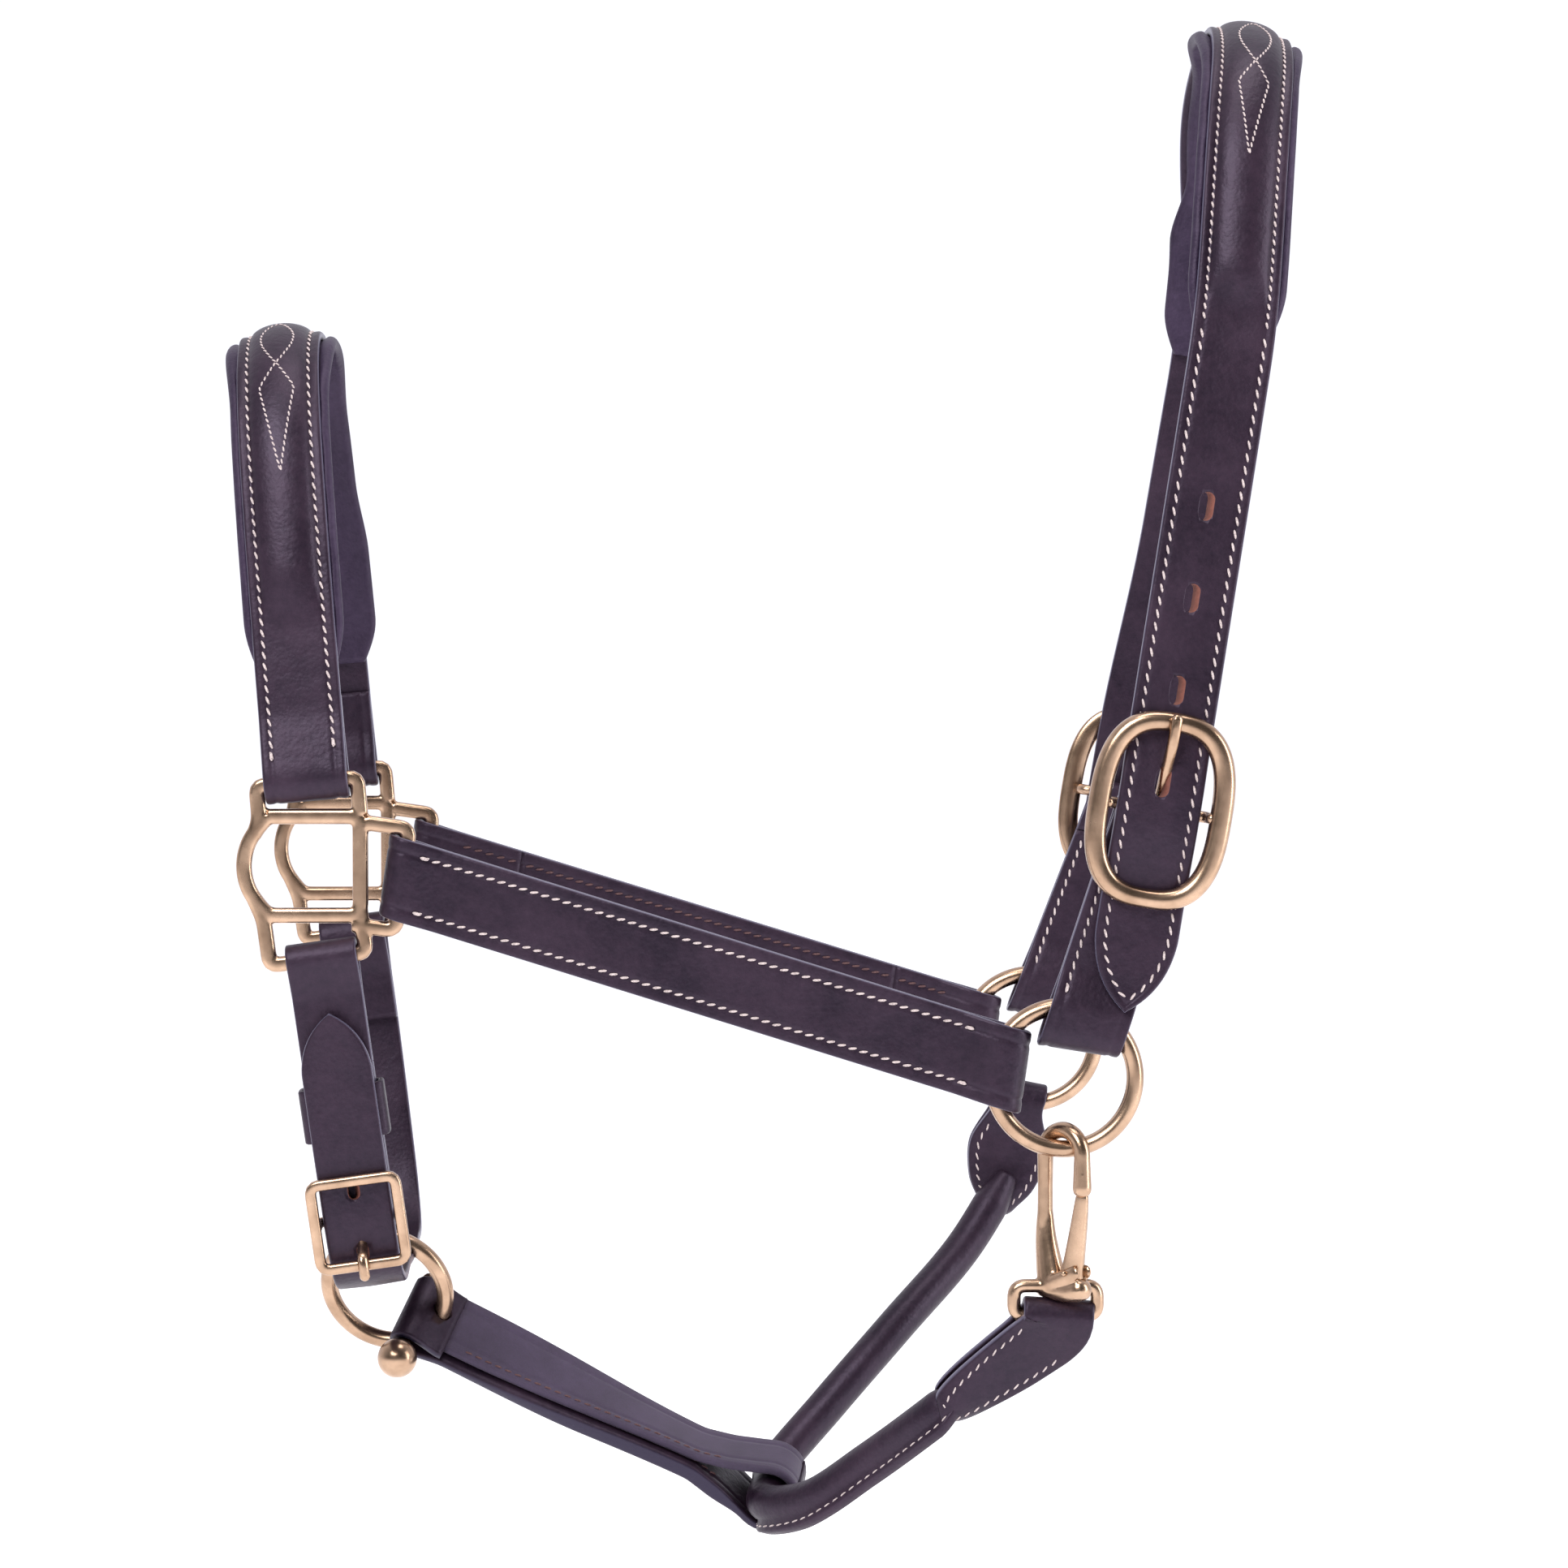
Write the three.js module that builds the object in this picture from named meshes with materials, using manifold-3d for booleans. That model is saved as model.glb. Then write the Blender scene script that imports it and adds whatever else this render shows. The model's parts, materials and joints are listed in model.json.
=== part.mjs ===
// Leather headcollar, hanging as it is worn: nose to -X, poll at the top, off side to +Y.
// Millimetres, +Z up. The origin is the underside of the crownpiece at the poll.
import * as THREE from 'three';
import { mergeVertices } from 'three/addons/utils/BufferGeometryUtils.js';
import Module from 'manifold-3d';

const wasm = await Module();
wasm.setup();

// ---- driving dimensions --------------------------------------------------------------------
const GAP = 0.3;                 // air kept between neighbouring pieces
const PLY = 2.6;                 // leather of the folded straps
const BILLET = 3;                // leather of the crown and chin billets
const LINING = 2.4;              // soft lining leather
const NEAR = -1;                 // horse's left side, towards -Y
const FAR = 1;                   // horse's right side, towards +Y

const CROWN_WIDTH = 26;
const CROWN_LINING_WIDTH = 35;
const PAD_WIDTH = 12;            // padding cord under the raised centre
const RAISED_WIDTH = 16;
const RAISED_HEIGHT = 3.6;       // how far the padded centre stands above the strap
const CROWN_LEAN = THREE.MathUtils.degToRad(9.3);
const POLL_SWAY = -5;            // how far forward the crownpiece sits over the poll
const FAR_SWAY = { most: 8, kept: 5 };   // how far back the off side hangs, mid-strap and at the buckle
const CROWN_TIP = -309;          // ends of the billets, along the strap below the poll
const CROWN_HOLES = [-236.4, -207.6, -178.8, -150];
const HOLE_LENGTH = 11.8;

const NOSE_WIDTH = 26;
const NOSE_LINING_WIDTH = 35;
const NOSE_LEAN = THREE.MathUtils.degToRad(-5);
const NOSE_DEPTH = 137.6;        // noseband top to the squares' top bars, along the strap

const SQUARE = { x: -300, halfSpan: 60, z: -260, bar: 4.2, thick: 4.2 };
const SQUARE_NOSE_BAR = { u: -3.2, v: 26.2 };
const SQUARE_CHEEK_BAR = { u: 26.4, v: -4.3 };
const SQUARE_CHIN_BAR = { u: 1.5, v: -28.8 };
const SQUARE_EYE = 3.4;          // inside radius of a fold round one of the square's bars

const RING = { x: -67.9, halfSpan: 67, z: -325.8, radius: 22.2, wire: 5.4 };
const CHIN_RING = { x: -283, y: 0, z: -401, radius: 19.5, wire: 5.6 };
const CHIN_RING_AXIS = new THREE.Vector3(0.2, 0.9, 0.38).normalize();

const CHEEK_WIDTH = 25.4;
const CHEEK_FOLD_LEAN = THREE.MathUtils.degToRad(8);
const CHEEK_DROP = 2.2;          // the cheekpiece pulls this far below the ring's centre
const TURN_BACK = 32;            // length of a strap end turned back round its fitting

const BUCKLE = { x: -39.3, halfSpan: 69, z: -242.3, width: 45, height: 61, side: 7, end: 6, thick: 4.6 };
const BUCKLE_BACK = 7.2;         // back of the oval frame, outward of its centre bar
const BAR_RADIUS = 1.8;
const CHAPE_WIDTH = 25.4;
const CHAPE_PLY = 2.3;
const CHAPE_SHIFT = 1.4;         // the chape hangs this far behind the ring's centre

const CHIN_WIDTH = 22;
const CHIN_LEAN = THREE.MathUtils.degToRad(-7.8);
const CHIN_BUCKLE = { drop: 82.2, halfSpan: 55, size: 31, bar: 4, thick: 3.4, back: 8.4 };
const CHIN_TIP = -17;
const KEEPER = { top: 40, length: 17, wall: 1.8 };
const KEEPER_REACH = CHAPE_PLY + 2 * GAP + KEEPER.wall;   // the loop goes round the hanger, behind the billet

const JAW_WIDTH = 25.4;
const JAW_PLY = 2.8;
const BOLT = { x: -273, y: 0, z: -409.6, radius: 2.5, ball: 6.4 };
const JAW_DIRECTION = new THREE.Vector3(0.898, 0, -0.44).normalize();
const JAW_ACROSS = new THREE.Vector3(0.312, 0.706, 0.636);
const JAW_TWIST = THREE.MathUtils.degToRad(-29);
const JAW_LENGTH = 128;          // bolt to the middle of the throat loop

const ROLL_RADIUS = 6.2;
const THROAT_TAB = { width: 13, thick: 2.4 };

const SNAP_YAW = THREE.MathUtils.degToRad(-46);
const SNAP_WIRE = 2.3;
const SNAP_HOOK = 7.6;           // radius of the hook's centre line

// ---- materials -----------------------------------------------------------------------------
const leather = () => new THREE.MeshStandardMaterial({ color: 0x33232b, roughness: 0.55, metalness: 0 });
const suede = () => new THREE.MeshStandardMaterial({ color: 0x4a3a42, roughness: 0.85, metalness: 0 });
const foam = () => new THREE.MeshStandardMaterial({ color: 0xb9a58c, roughness: 0.9, metalness: 0 });
const brass = () => new THREE.MeshStandardMaterial({ color: 0xb8904f, roughness: 0.35, metalness: 1 });

// ---- solids --------------------------------------------------------------------------------
const vec2 = (x, y) => new THREE.Vector2(x, y);
const vec3 = (x, y, z) => new THREE.Vector3(x, y, z);

function toSolid(geometry) {
  const bare = geometry.clone();
  bare.deleteAttribute('normal');
  bare.deleteAttribute('uv');
  const merged = mergeVertices(bare, 1e-4);
  return new wasm.Manifold(new wasm.Mesh({
    numProp: 3,
    vertProperties: new Float32Array(merged.attributes.position.array),
    triVerts: new Uint32Array(merged.index.array),
  }));
}

function toGeometry(solid) {
  const mesh = solid.getMesh();
  const geometry = new THREE.BufferGeometry();
  geometry.setAttribute('position', new THREE.BufferAttribute(new Float32Array(mesh.vertProperties), 3));
  geometry.setIndex(new THREE.BufferAttribute(new Uint32Array(mesh.triVerts), 1));
  geometry.computeVertexNormals();
  return geometry;
}

const join = (...geometries) => toGeometry(geometries.map(toSolid).reduce((sum, part) => sum.add(part)));
const cut = (geometry, ...tools) => toGeometry(
  tools.map(toSolid).reduce((rest, tool) => rest.subtract(tool), toSolid(geometry)),
);
const common = (geometry, tool) => toGeometry(toSolid(geometry).intersect(toSolid(tool)));

// A flat outline given a thickness, centred on its own plane.
function slab(shape, thickness, curveSegments = 8) {
  const geometry = new THREE.ExtrudeGeometry(shape, { depth: thickness, bevelEnabled: false, curveSegments });
  return geometry.translate(0, 0, -thickness / 2);
}

function box(x0, x1, y0, y1, z0, z1) {
  const geometry = new THREE.BoxGeometry(x1 - x0, y1 - y0, z1 - z0);
  return geometry.translate((x0 + x1) / 2, (y0 + y1) / 2, (z0 + z1) / 2);
}

// A round bar between two points.
function bar(start, end, radius, sides = 10) {
  const along = end.clone().sub(start);
  const geometry = new THREE.CylinderGeometry(radius, radius, along.length(), sides);
  const turn = new THREE.Quaternion().setFromUnitVectors(vec3(0, 1, 0), along.clone().normalize());
  geometry.applyQuaternion(turn);
  return geometry.translate((start.x + end.x) / 2, (start.y + end.y) / 2, (start.z + end.z) / 2);
}

// A round tube along a smooth curve through the points.
function tube(points, radius, steps, sides = 10) {
  const section = new THREE.Shape();
  section.absarc(0, 0, radius, 0, Math.PI * 2);
  const path = new THREE.CatmullRomCurve3(points, false, 'centripetal');
  return new THREE.ExtrudeGeometry(section, { steps, extrudePath: path, curveSegments: sides / 2 });
}

// At each point of a line, the direction to its left.
const leftOf = (line) => line.map((point, i) => {
  const before = line[Math.max(i - 1, 0)];
  const after = line[Math.min(i + 1, line.length - 1)];
  const along = after.clone().sub(before).normalize();
  return vec2(-along.y, along.x);
});

// A strap seen edge-on: the line of the strap, offset to its left by two distances.
function ribbon(line, low, high) {
  const normals = leftOf(line);
  const side = (distance) => line.map((point, i) => point.clone().addScaledVector(normals[i], distance));
  return new THREE.Shape([...side(high), ...side(low).reverse()]);
}

const strap = (line, low, high, width) => slab(ribbon(line, low, high), width);

// The same strap made of one cell between each pair of points, so that it can be bent sideways.
function celledStrap(line, low, high, width) {
  const normals = leftOf(line);
  const cells = line.length - 1;
  const geometry = new THREE.BoxGeometry(cells, high - low, width, cells, 1, 1);
  const position = geometry.attributes.position;
  for (let i = 0; i < position.count; i += 1) {
    const index = Math.round(position.getX(i) + cells / 2);
    const point = line[index].clone().addScaledVector(normals[index], position.getY(i) + (low + high) / 2);
    position.setXY(i, point.x, point.y);
  }
  return geometry;
}

// Points round an arc, from one angle to another in degrees.
function arc(x, y, radius, from, to, steps) {
  return Array.from({ length: steps + 1 }, (_, i) => {
    const angle = THREE.MathUtils.degToRad(from + (to - from) * i / steps);
    return vec2(x + radius * Math.cos(angle), y + radius * Math.sin(angle));
  });
}

const smooth = (points, samples) => new THREE.SplineCurve(points).getPoints(samples);

function roundedRect(path, x0, x1, y0, y1, radius) {
  path.moveTo(x0 + radius, y0);
  path.lineTo(x1 - radius, y0);
  path.absarc(x1 - radius, y0 + radius, radius, -Math.PI / 2, 0);
  path.lineTo(x1, y1 - radius);
  path.absarc(x1 - radius, y1 - radius, radius, 0, Math.PI / 2);
  path.lineTo(x0 + radius, y1);
  path.absarc(x0 + radius, y1 - radius, radius, Math.PI / 2, Math.PI);
  path.lineTo(x0, y0 + radius);
  path.absarc(x0 + radius, y0 + radius, radius, Math.PI, Math.PI * 1.5);
  return path;
}

// A flat frame round a rectangular window.
function windowFrame(x0, x1, y0, y1, rim, thickness) {
  const shape = roundedRect(new THREE.Shape(), x0 - rim, x1 + rim, y0 - rim, y1 + rim, rim);
  shape.holes.push(roundedRect(new THREE.Path(), x0, x1, y0, y1, 1));
  return slab(shape, thickness, 2);
}

// ---- placing -------------------------------------------------------------------------------
function basis(origin, x, y) {
  const z = x.clone().cross(y).normalize();
  const upright = z.clone().cross(x);
  return new THREE.Matrix4().makeBasis(x, upright, z).setPosition(origin);
}

const headcollar = new THREE.Group();

function add(name, geometry, material, place = new THREE.Matrix4()) {
  const mesh = new THREE.Mesh(geometry, material);
  mesh.name = name;
  mesh.applyMatrix4(place);
  headcollar.add(mesh);
}

// A strap along one direction whose folds run along another, so that it is a skewed band.
function skewed(origin, direction, fold, side) {
  const normal = direction.clone().cross(fold);
  const stretch = 1 / normal.length();
  const outward = normal.normalize().multiplyScalar(Math.sign(normal.y) * side);
  const across = fold.clone().multiplyScalar(stretch * Math.sign(direction.clone().cross(outward).dot(fold)));
  return new THREE.Matrix4().makeBasis(direction, outward, across).setPosition(origin);
}

const sideName = (side) => (side === NEAR ? 'near' : 'far');

// A plane through the point, across the horse, with its top leaning towards +X.
const leaningPlane = (origin, lean) => basis(origin, vec3(0, 1, 0), vec3(Math.sin(lean), 0, Math.cos(lean)));

// ---- folded straps -------------------------------------------------------------------------
// One end of a strap folded round a fitting at x = 0, plies going towards +x.
// reach moves the sides of the eye further along, for a curved ring inside it.
function foldedEnd(radius, reach, ply) {
  const middle = radius + ply / 2;
  const flat = GAP / 2 + ply / 2;
  return [
    vec2(reach + 11, -flat),
    vec2(reach, -middle),
    ...arc(0, 0, middle, 270, 90, 8),
    vec2(reach, middle),
    vec2(reach + 11, flat),
  ];
}

// Turns the end round to face -x, with its fitting at x = length.
const flipped = (line, length) => line.map((point) => vec2(length - point.x, -point.y));

// A strap wrapped round a fitting at each end, its two ends meeting on the inner side.
function wrappedStrap(length, first, last, ply, width, seam) {
  const flat = GAP / 2 + ply / 2;
  const line = [
    vec2(seam, -flat),
    ...foldedEnd(first.radius, first.reach, ply),
    ...flipped(foldedEnd(last.radius, last.reach, ply), length),
    vec2(seam + GAP, -flat),
  ];
  return strap(line, -ply / 2, ply / 2, width);
}

// ---- crownpiece ----------------------------------------------------------------------------
const crownHalf = [
  vec2(0, 0), vec2(19, -3), vec2(37, -14), vec2(50, -34), vec2(57, -62), vec2(61.5, -95), vec2(64.5, -130),
  vec2(67.5, -180), vec2(69.6, -213), vec2(69.9, -223), vec2(71.9, -238), vec2(72.1, -245.5),
  vec2(71.9, -253), vec2(69.9, -268), vec2(69.8, -278), vec2(70.5, CROWN_TIP),
];

// The whole line over the poll from the near tip to the far one, through the right mirror points.
function archLine(half, samples, last = half.length) {
  const right = half.slice(0, last);
  const left = right.slice(1).reverse().map((point) => vec2(-point.x, point.y));
  return smooth([...left, ...right], samples);
}

const crownPlane = leaningPlane(vec3(0, 0, 0), CROWN_LEAN);
const CROWN_INSIDE = LINING + GAP;

// The billet ends are pointed, and have oblong holes for the buckle tongues.
function billetOutline(width, tip, top, point) {
  const shape = new THREE.Shape();
  shape.moveTo(-width, top);
  shape.lineTo(-width, tip + point);
  shape.lineTo(-width / 2, tip + point);
  shape.quadraticCurveTo(-width / 2.2, tip + point / 3, 0, tip);
  shape.quadraticCurveTo(width / 2.2, tip + point / 3, width / 2, tip + point);
  shape.lineTo(width, tip + point);
  shape.lineTo(width, top);
  return shape;
}

function oblongHole(height, width, length) {
  const shape = new THREE.Shape();
  const straight = (length - width) / 2;
  shape.absarc(0, height + straight, width / 2, 0, Math.PI);
  shape.absarc(0, height - straight, width / 2, Math.PI, Math.PI * 2);
  return shape;
}

// Drawn across the width (x) and along the strap (y), pushed through the profile's plane.
const acrossStrap = (shape, depth) => slab(shape, depth, 4).rotateY(Math.PI / 2);

// The crownpiece doesn't hang quite straight: it sits forward over the poll, and its off side hangs back.
function sway(x, height) {
  const { smoothstep } = THREE.MathUtils;
  const nearSide = POLL_SWAY * (1 - smoothstep(-height, 15, 105));
  const returned = (FAR_SWAY.most - FAR_SWAY.kept) * smoothstep(-height, 150, 228);
  const farSide = FAR_SWAY.most * smoothstep(-height, 0, 70) - returned;
  return nearSide + farSide * smoothstep(x, 8, 55);
}

function swayed(geometry) {
  const position = geometry.attributes.position;
  for (let i = 0; i < position.count; i += 1) {
    position.setZ(i, position.getZ(i) + sway(position.getX(i), position.getY(i)));
  }
  return geometry;
}

function makeCrown() {
  const line = archLine(crownHalf, 64);
  const raised = archLine(crownHalf, 30, 6);
  const top = CROWN_INSIDE + BILLET;
  const body = join(
    strap(line, CROWN_INSIDE, top, CROWN_WIDTH),
    strap(raised, top - 1, top + RAISED_HEIGHT, RAISED_WIDTH),
  );
  const channel = celledStrap(raised, CROWN_INSIDE - 1, CROWN_INSIDE + RAISED_HEIGHT + 1, PAD_WIDTH + 4 * GAP);
  const pointed = common(body, acrossStrap(billetOutline(CROWN_WIDTH, CROWN_TIP, 30, 24), 220));
  const holes = CROWN_HOLES.map((height) => acrossStrap(oblongHole(height, 4.6, HOLE_LENGTH), 220));
  const punched = cut(pointed, ...holes);
  add('crown_strap', cut(swayed(punched), swayed(channel)), leather(), crownPlane);
  const padding = celledStrap(raised.slice(3, -3), CROWN_INSIDE, CROWN_INSIDE + RAISED_HEIGHT + 0.7, PAD_WIDTH);
  add('crown_padding', swayed(padding), foam(), crownPlane);
  add('crown_lining', swayed(celledStrap(raised, 0, LINING, CROWN_LINING_WIDTH)), suede(), crownPlane);
}

// ---- oval buckles and their chapes ---------------------------------------------------------
// Drawn with x outward, y up the strap and z across it, the centre bar on the z axis.
function ovalFrame() {
  const shape = new THREE.Shape();
  roundedRect(shape, -BUCKLE.width / 2, BUCKLE.width / 2, -BUCKLE.height / 2, BUCKLE.height / 2, 19);
  const hole = new THREE.Path();
  const half = BUCKLE.width / 2 - BUCKLE.side;
  const tall = BUCKLE.height / 2 - BUCKLE.end;
  roundedRect(hole, -half, half, -tall, tall, 13);
  shape.holes.push(hole);
  const depth = BUCKLE.thick - 1.6;
  const rim = new THREE.ExtrudeGeometry(shape, {
    depth, bevelEnabled: true, bevelThickness: 0.8, bevelSize: 0.8, bevelOffset: -0.8, bevelSegments: 1, curveSegments: 4,
  });
  return rim.rotateY(Math.PI / 2).translate(BUCKLE_BACK + 0.8, 0, 0);
}

// The centre bar lies behind the billet, on two arms from the sides of the frame.
function centreBar(inner, back) {
  const arms = [-1, 1].map((end) => box(-BAR_RADIUS, back + 1.5, -2, 2, end * inner - 1.5, end * inner + 1.5));
  return join(bar(vec3(0, 0, -inner), vec3(0, 0, inner), BAR_RADIUS, 12), ...arms);
}

// A tongue with its eye round the bar; direction is 1 up the strap or -1 down it.
function tongue(points, direction, radius) {
  const eye = cut(
    bar(vec3(0, 0, -1.9), vec3(0, 0, 1.9), BAR_RADIUS + 1.9, 12),
    bar(vec3(0, 0, -3), vec3(0, 0, 3), BAR_RADIUS + 0.25, 12),
  );
  const rod = tube(points.map(([out, along]) => vec3(out, along * direction, 0)), radius, 8, 6);
  return join(eye, rod);
}

function makeBuckle(side) {
  const up = vec3(Math.sin(CROWN_LEAN), 0, Math.cos(CROWN_LEAN));
  const centre = vec3(BUCKLE.x, side * BUCKLE.halfSpan, BUCKLE.z);
  if (side === FAR) centre.addScaledVector(vec3(up.z, 0, -up.x), FAR_SWAY.kept);
  const place = basis(centre, vec3(0, side, 0), up);
  const inner = BUCKLE.width / 2 - BUCKLE.side;
  add(`${sideName(side)}_buckle`, join(ovalFrame(), centreBar(inner + 0.2, BUCKLE_BACK)), brass(), place);
  const rest = BUCKLE_BACK + BUCKLE.thick + 1.9;
  const route = [[2.1, 2.2], [4.6, 6.8], [8.4, 12.4], [rest - 0.7, 20], [rest, 25.5], [rest, 30.5]];
  add(`${sideName(side)}_tongue`, tongue(route, 1, 1.6), brass(), place);

  const ring = vec3(RING.x + CHAPE_SHIFT, side * RING.halfSpan, RING.z);
  const along = ring.clone().sub(centre);
  const length = along.length();
  const fold = vec3(Math.cos(CROWN_LEAN), 0, -Math.sin(CROWN_LEAN));
  const eye = RING.wire / 2 + 2 * GAP;
  const chapePlace = skewed(centre, along.normalize(), fold, side);
  const seat = ringSeat(vec3(CHAPE_SHIFT, 0, 0), along.clone().negate(), fold, CHAPE_WIDTH / 2, eye);
  const body = wrappedStrap(
    length - seat.start,
    { radius: BAR_RADIUS + GAP, reach: 0 },
    { radius: eye, reach: seat.reach },
    CHAPE_PLY, CHAPE_WIDTH, 30,
  );
  const slot = box(-9, 5, -9, 9, -3.1, 3.1);
  add(`${sideName(side)}_chape`, cut(body, slot).applyMatrix4(chapePlace), leather());
}

// Where the straight fold of a strap sits on a round ring. centre is the middle of the strap's line
// past the ring's own centre, u points away from the ring along the strap and fold along its crease.
function ringSeat(centre, u, fold, halfWidth, eye) {
  const distance = (across, radius) => {
    const from = centre.clone().addScaledVector(fold, across);
    const back = u.dot(from);
    return -back + Math.sqrt(back * back - from.lengthSq() + radius * radius);
  };
  const inner = RING.radius - RING.wire / 2 - GAP;
  const start = Math.min(distance(-halfWidth, inner), distance(halfWidth, inner)) + eye;
  const crest = Math.max(...[-0.8, -0.4, 0, 0.4, 0.8].map((part) => distance(part * halfWidth, RING.radius)));
  return { start, reach: Math.max(crest - start + 0.6, 0) };
}

// ---- rings ---------------------------------------------------------------------------------
function makeRings() {
  for (const side of [NEAR, FAR]) {
    const hoop = new THREE.TorusGeometry(RING.radius, RING.wire / 2, 8, 32);
    add(`${sideName(side)}_ring`, hoop, brass(), basis(vec3(RING.x, side * RING.halfSpan, RING.z), vec3(1, 0, 0), vec3(0, 0, 1)));
  }
  const hoop = new THREE.TorusGeometry(CHIN_RING.radius, CHIN_RING.wire / 2, 8, 32);
  const across = vec3(0, 0, 1).cross(CHIN_RING_AXIS).normalize();
  const place = basis(vec3(CHIN_RING.x, CHIN_RING.y, CHIN_RING.z), across, CHIN_RING_AXIS.clone().cross(across));
  add('chin_ring', hoop, brass(), place);
}

// ---- squares -------------------------------------------------------------------------------
// A cast fitting with a main window and a strap slot above, behind and below it.
function squareCasting() {
  const rim = SQUARE.bar;
  const half = rim / 2;
  const front = new THREE.Shape();
  front.moveTo(-17.6, -17.6);
  front.lineTo(15.5, -17.6);
  front.lineTo(15.5, 17.6);
  front.lineTo(-17.6, 17.6);
  front.quadraticCurveTo(-19, 11, -22.6, 9);
  front.quadraticCurveTo(-27, 0, -22.6, -9);
  front.quadraticCurveTo(-19, -11, -17.6, -17.6);
  const hole = new THREE.Path();
  hole.moveTo(-14.4, -13.3);
  hole.lineTo(11.3, -13.3);
  hole.lineTo(11.3, 13.3);
  hole.lineTo(-14.4, 13.3);
  hole.quadraticCurveTo(-15.4, 9, -18.6, 7);
  hole.quadraticCurveTo(-22, 0, -18.6, -7);
  hole.quadraticCurveTo(-15.4, -9, -14.4, -13.3);
  front.holes.push(hole);
  const nose = SQUARE_NOSE_BAR;
  const noseHalf = NOSE_WIDTH / 2 + 0.6;
  const noseSlot = windowFrame(-noseHalf, noseHalf, -6.8, -half, rim, SQUARE.thick);
  noseSlot.rotateZ(-NOSE_LEAN).translate(nose.u, nose.v, 0);
  const chin = SQUARE_CHIN_BAR;
  const chinHalf = CHIN_WIDTH / 2 + 0.6;
  const chinSlot = windowFrame(-chinHalf - 4, chinHalf, half, 8.6, rim, SQUARE.thick);
  chinSlot.rotateZ(-CHIN_LEAN).translate(chin.u, chin.v, 0);
  const cheek = SQUARE_CHEEK_BAR;
  const cheekHalf = CHEEK_WIDTH / 2 + 1.2;
  const cheekSlot = windowFrame(-10.9, -half, -cheekHalf, cheekHalf, rim, SQUARE.thick);
  cheekSlot.rotateZ(-CHEEK_FOLD_LEAN).translate(cheek.u, cheek.v, 0);
  return join(slab(front, SQUARE.thick, 4), noseSlot, chinSlot, cheekSlot);
}

function makeSquares() {
  for (const side of [NEAR, FAR]) {
    const place = basis(vec3(SQUARE.x, side * SQUARE.halfSpan, SQUARE.z), vec3(1, 0, 0), vec3(0, 0, 1));
    add(`${sideName(side)}_square`, squareCasting(), brass(), place);
  }
}

// ---- cheekpieces ---------------------------------------------------------------------------
function makeCheek(side) {
  const start = vec3(SQUARE.x + SQUARE_CHEEK_BAR.u, side * SQUARE.halfSpan, SQUARE.z + SQUARE_CHEEK_BAR.v);
  const end = vec3(RING.x, side * RING.halfSpan, RING.z - CHEEK_DROP);
  const along = end.clone().sub(start);
  const full = along.length();
  const eye = RING.wire / 2 + 3 * GAP;
  // The folds lean less than the strap slopes.
  const fold = vec3(Math.sin(CHEEK_FOLD_LEAN), 0, Math.cos(CHEEK_FOLD_LEAN));
  const place = skewed(start, along.normalize(), fold, side);
  const seat = ringSeat(vec3(0, 0, -CHEEK_DROP), along.clone().negate(), fold, CHEEK_WIDTH / 2, eye);
  const length = full - seat.start;
  const flat = GAP / 2 + PLY / 2;
  const line = [
    vec2(TURN_BACK, -flat),
    ...foldedEnd(SQUARE_EYE, 0, PLY),
    ...flipped(foldedEnd(eye, seat.reach, PLY), length),
    vec2(length - TURN_BACK, -flat),
  ];
  const body = strap(line, -PLY / 2, PLY / 2, CHEEK_WIDTH).applyMatrix4(place);
  add(`${sideName(side)}_cheekpiece`, body, leather());
  const lining = box(TURN_BACK + GAP, length - TURN_BACK - GAP, -flat - PLY / 2, -GAP / 2, -CHEEK_WIDTH / 2, CHEEK_WIDTH / 2);
  add(`${sideName(side)}_cheek_lining`, lining.applyMatrix4(place), suede());
}

// ---- noseband ------------------------------------------------------------------------------
const noseHalfLine = [
  vec2(0, 0), vec2(14, -2), vec2(28, -11), vec2(39, -28), vec2(46.5, -52), vec2(51.5, -80), vec2(54.5, -102), vec2(56, -117),
];

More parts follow.
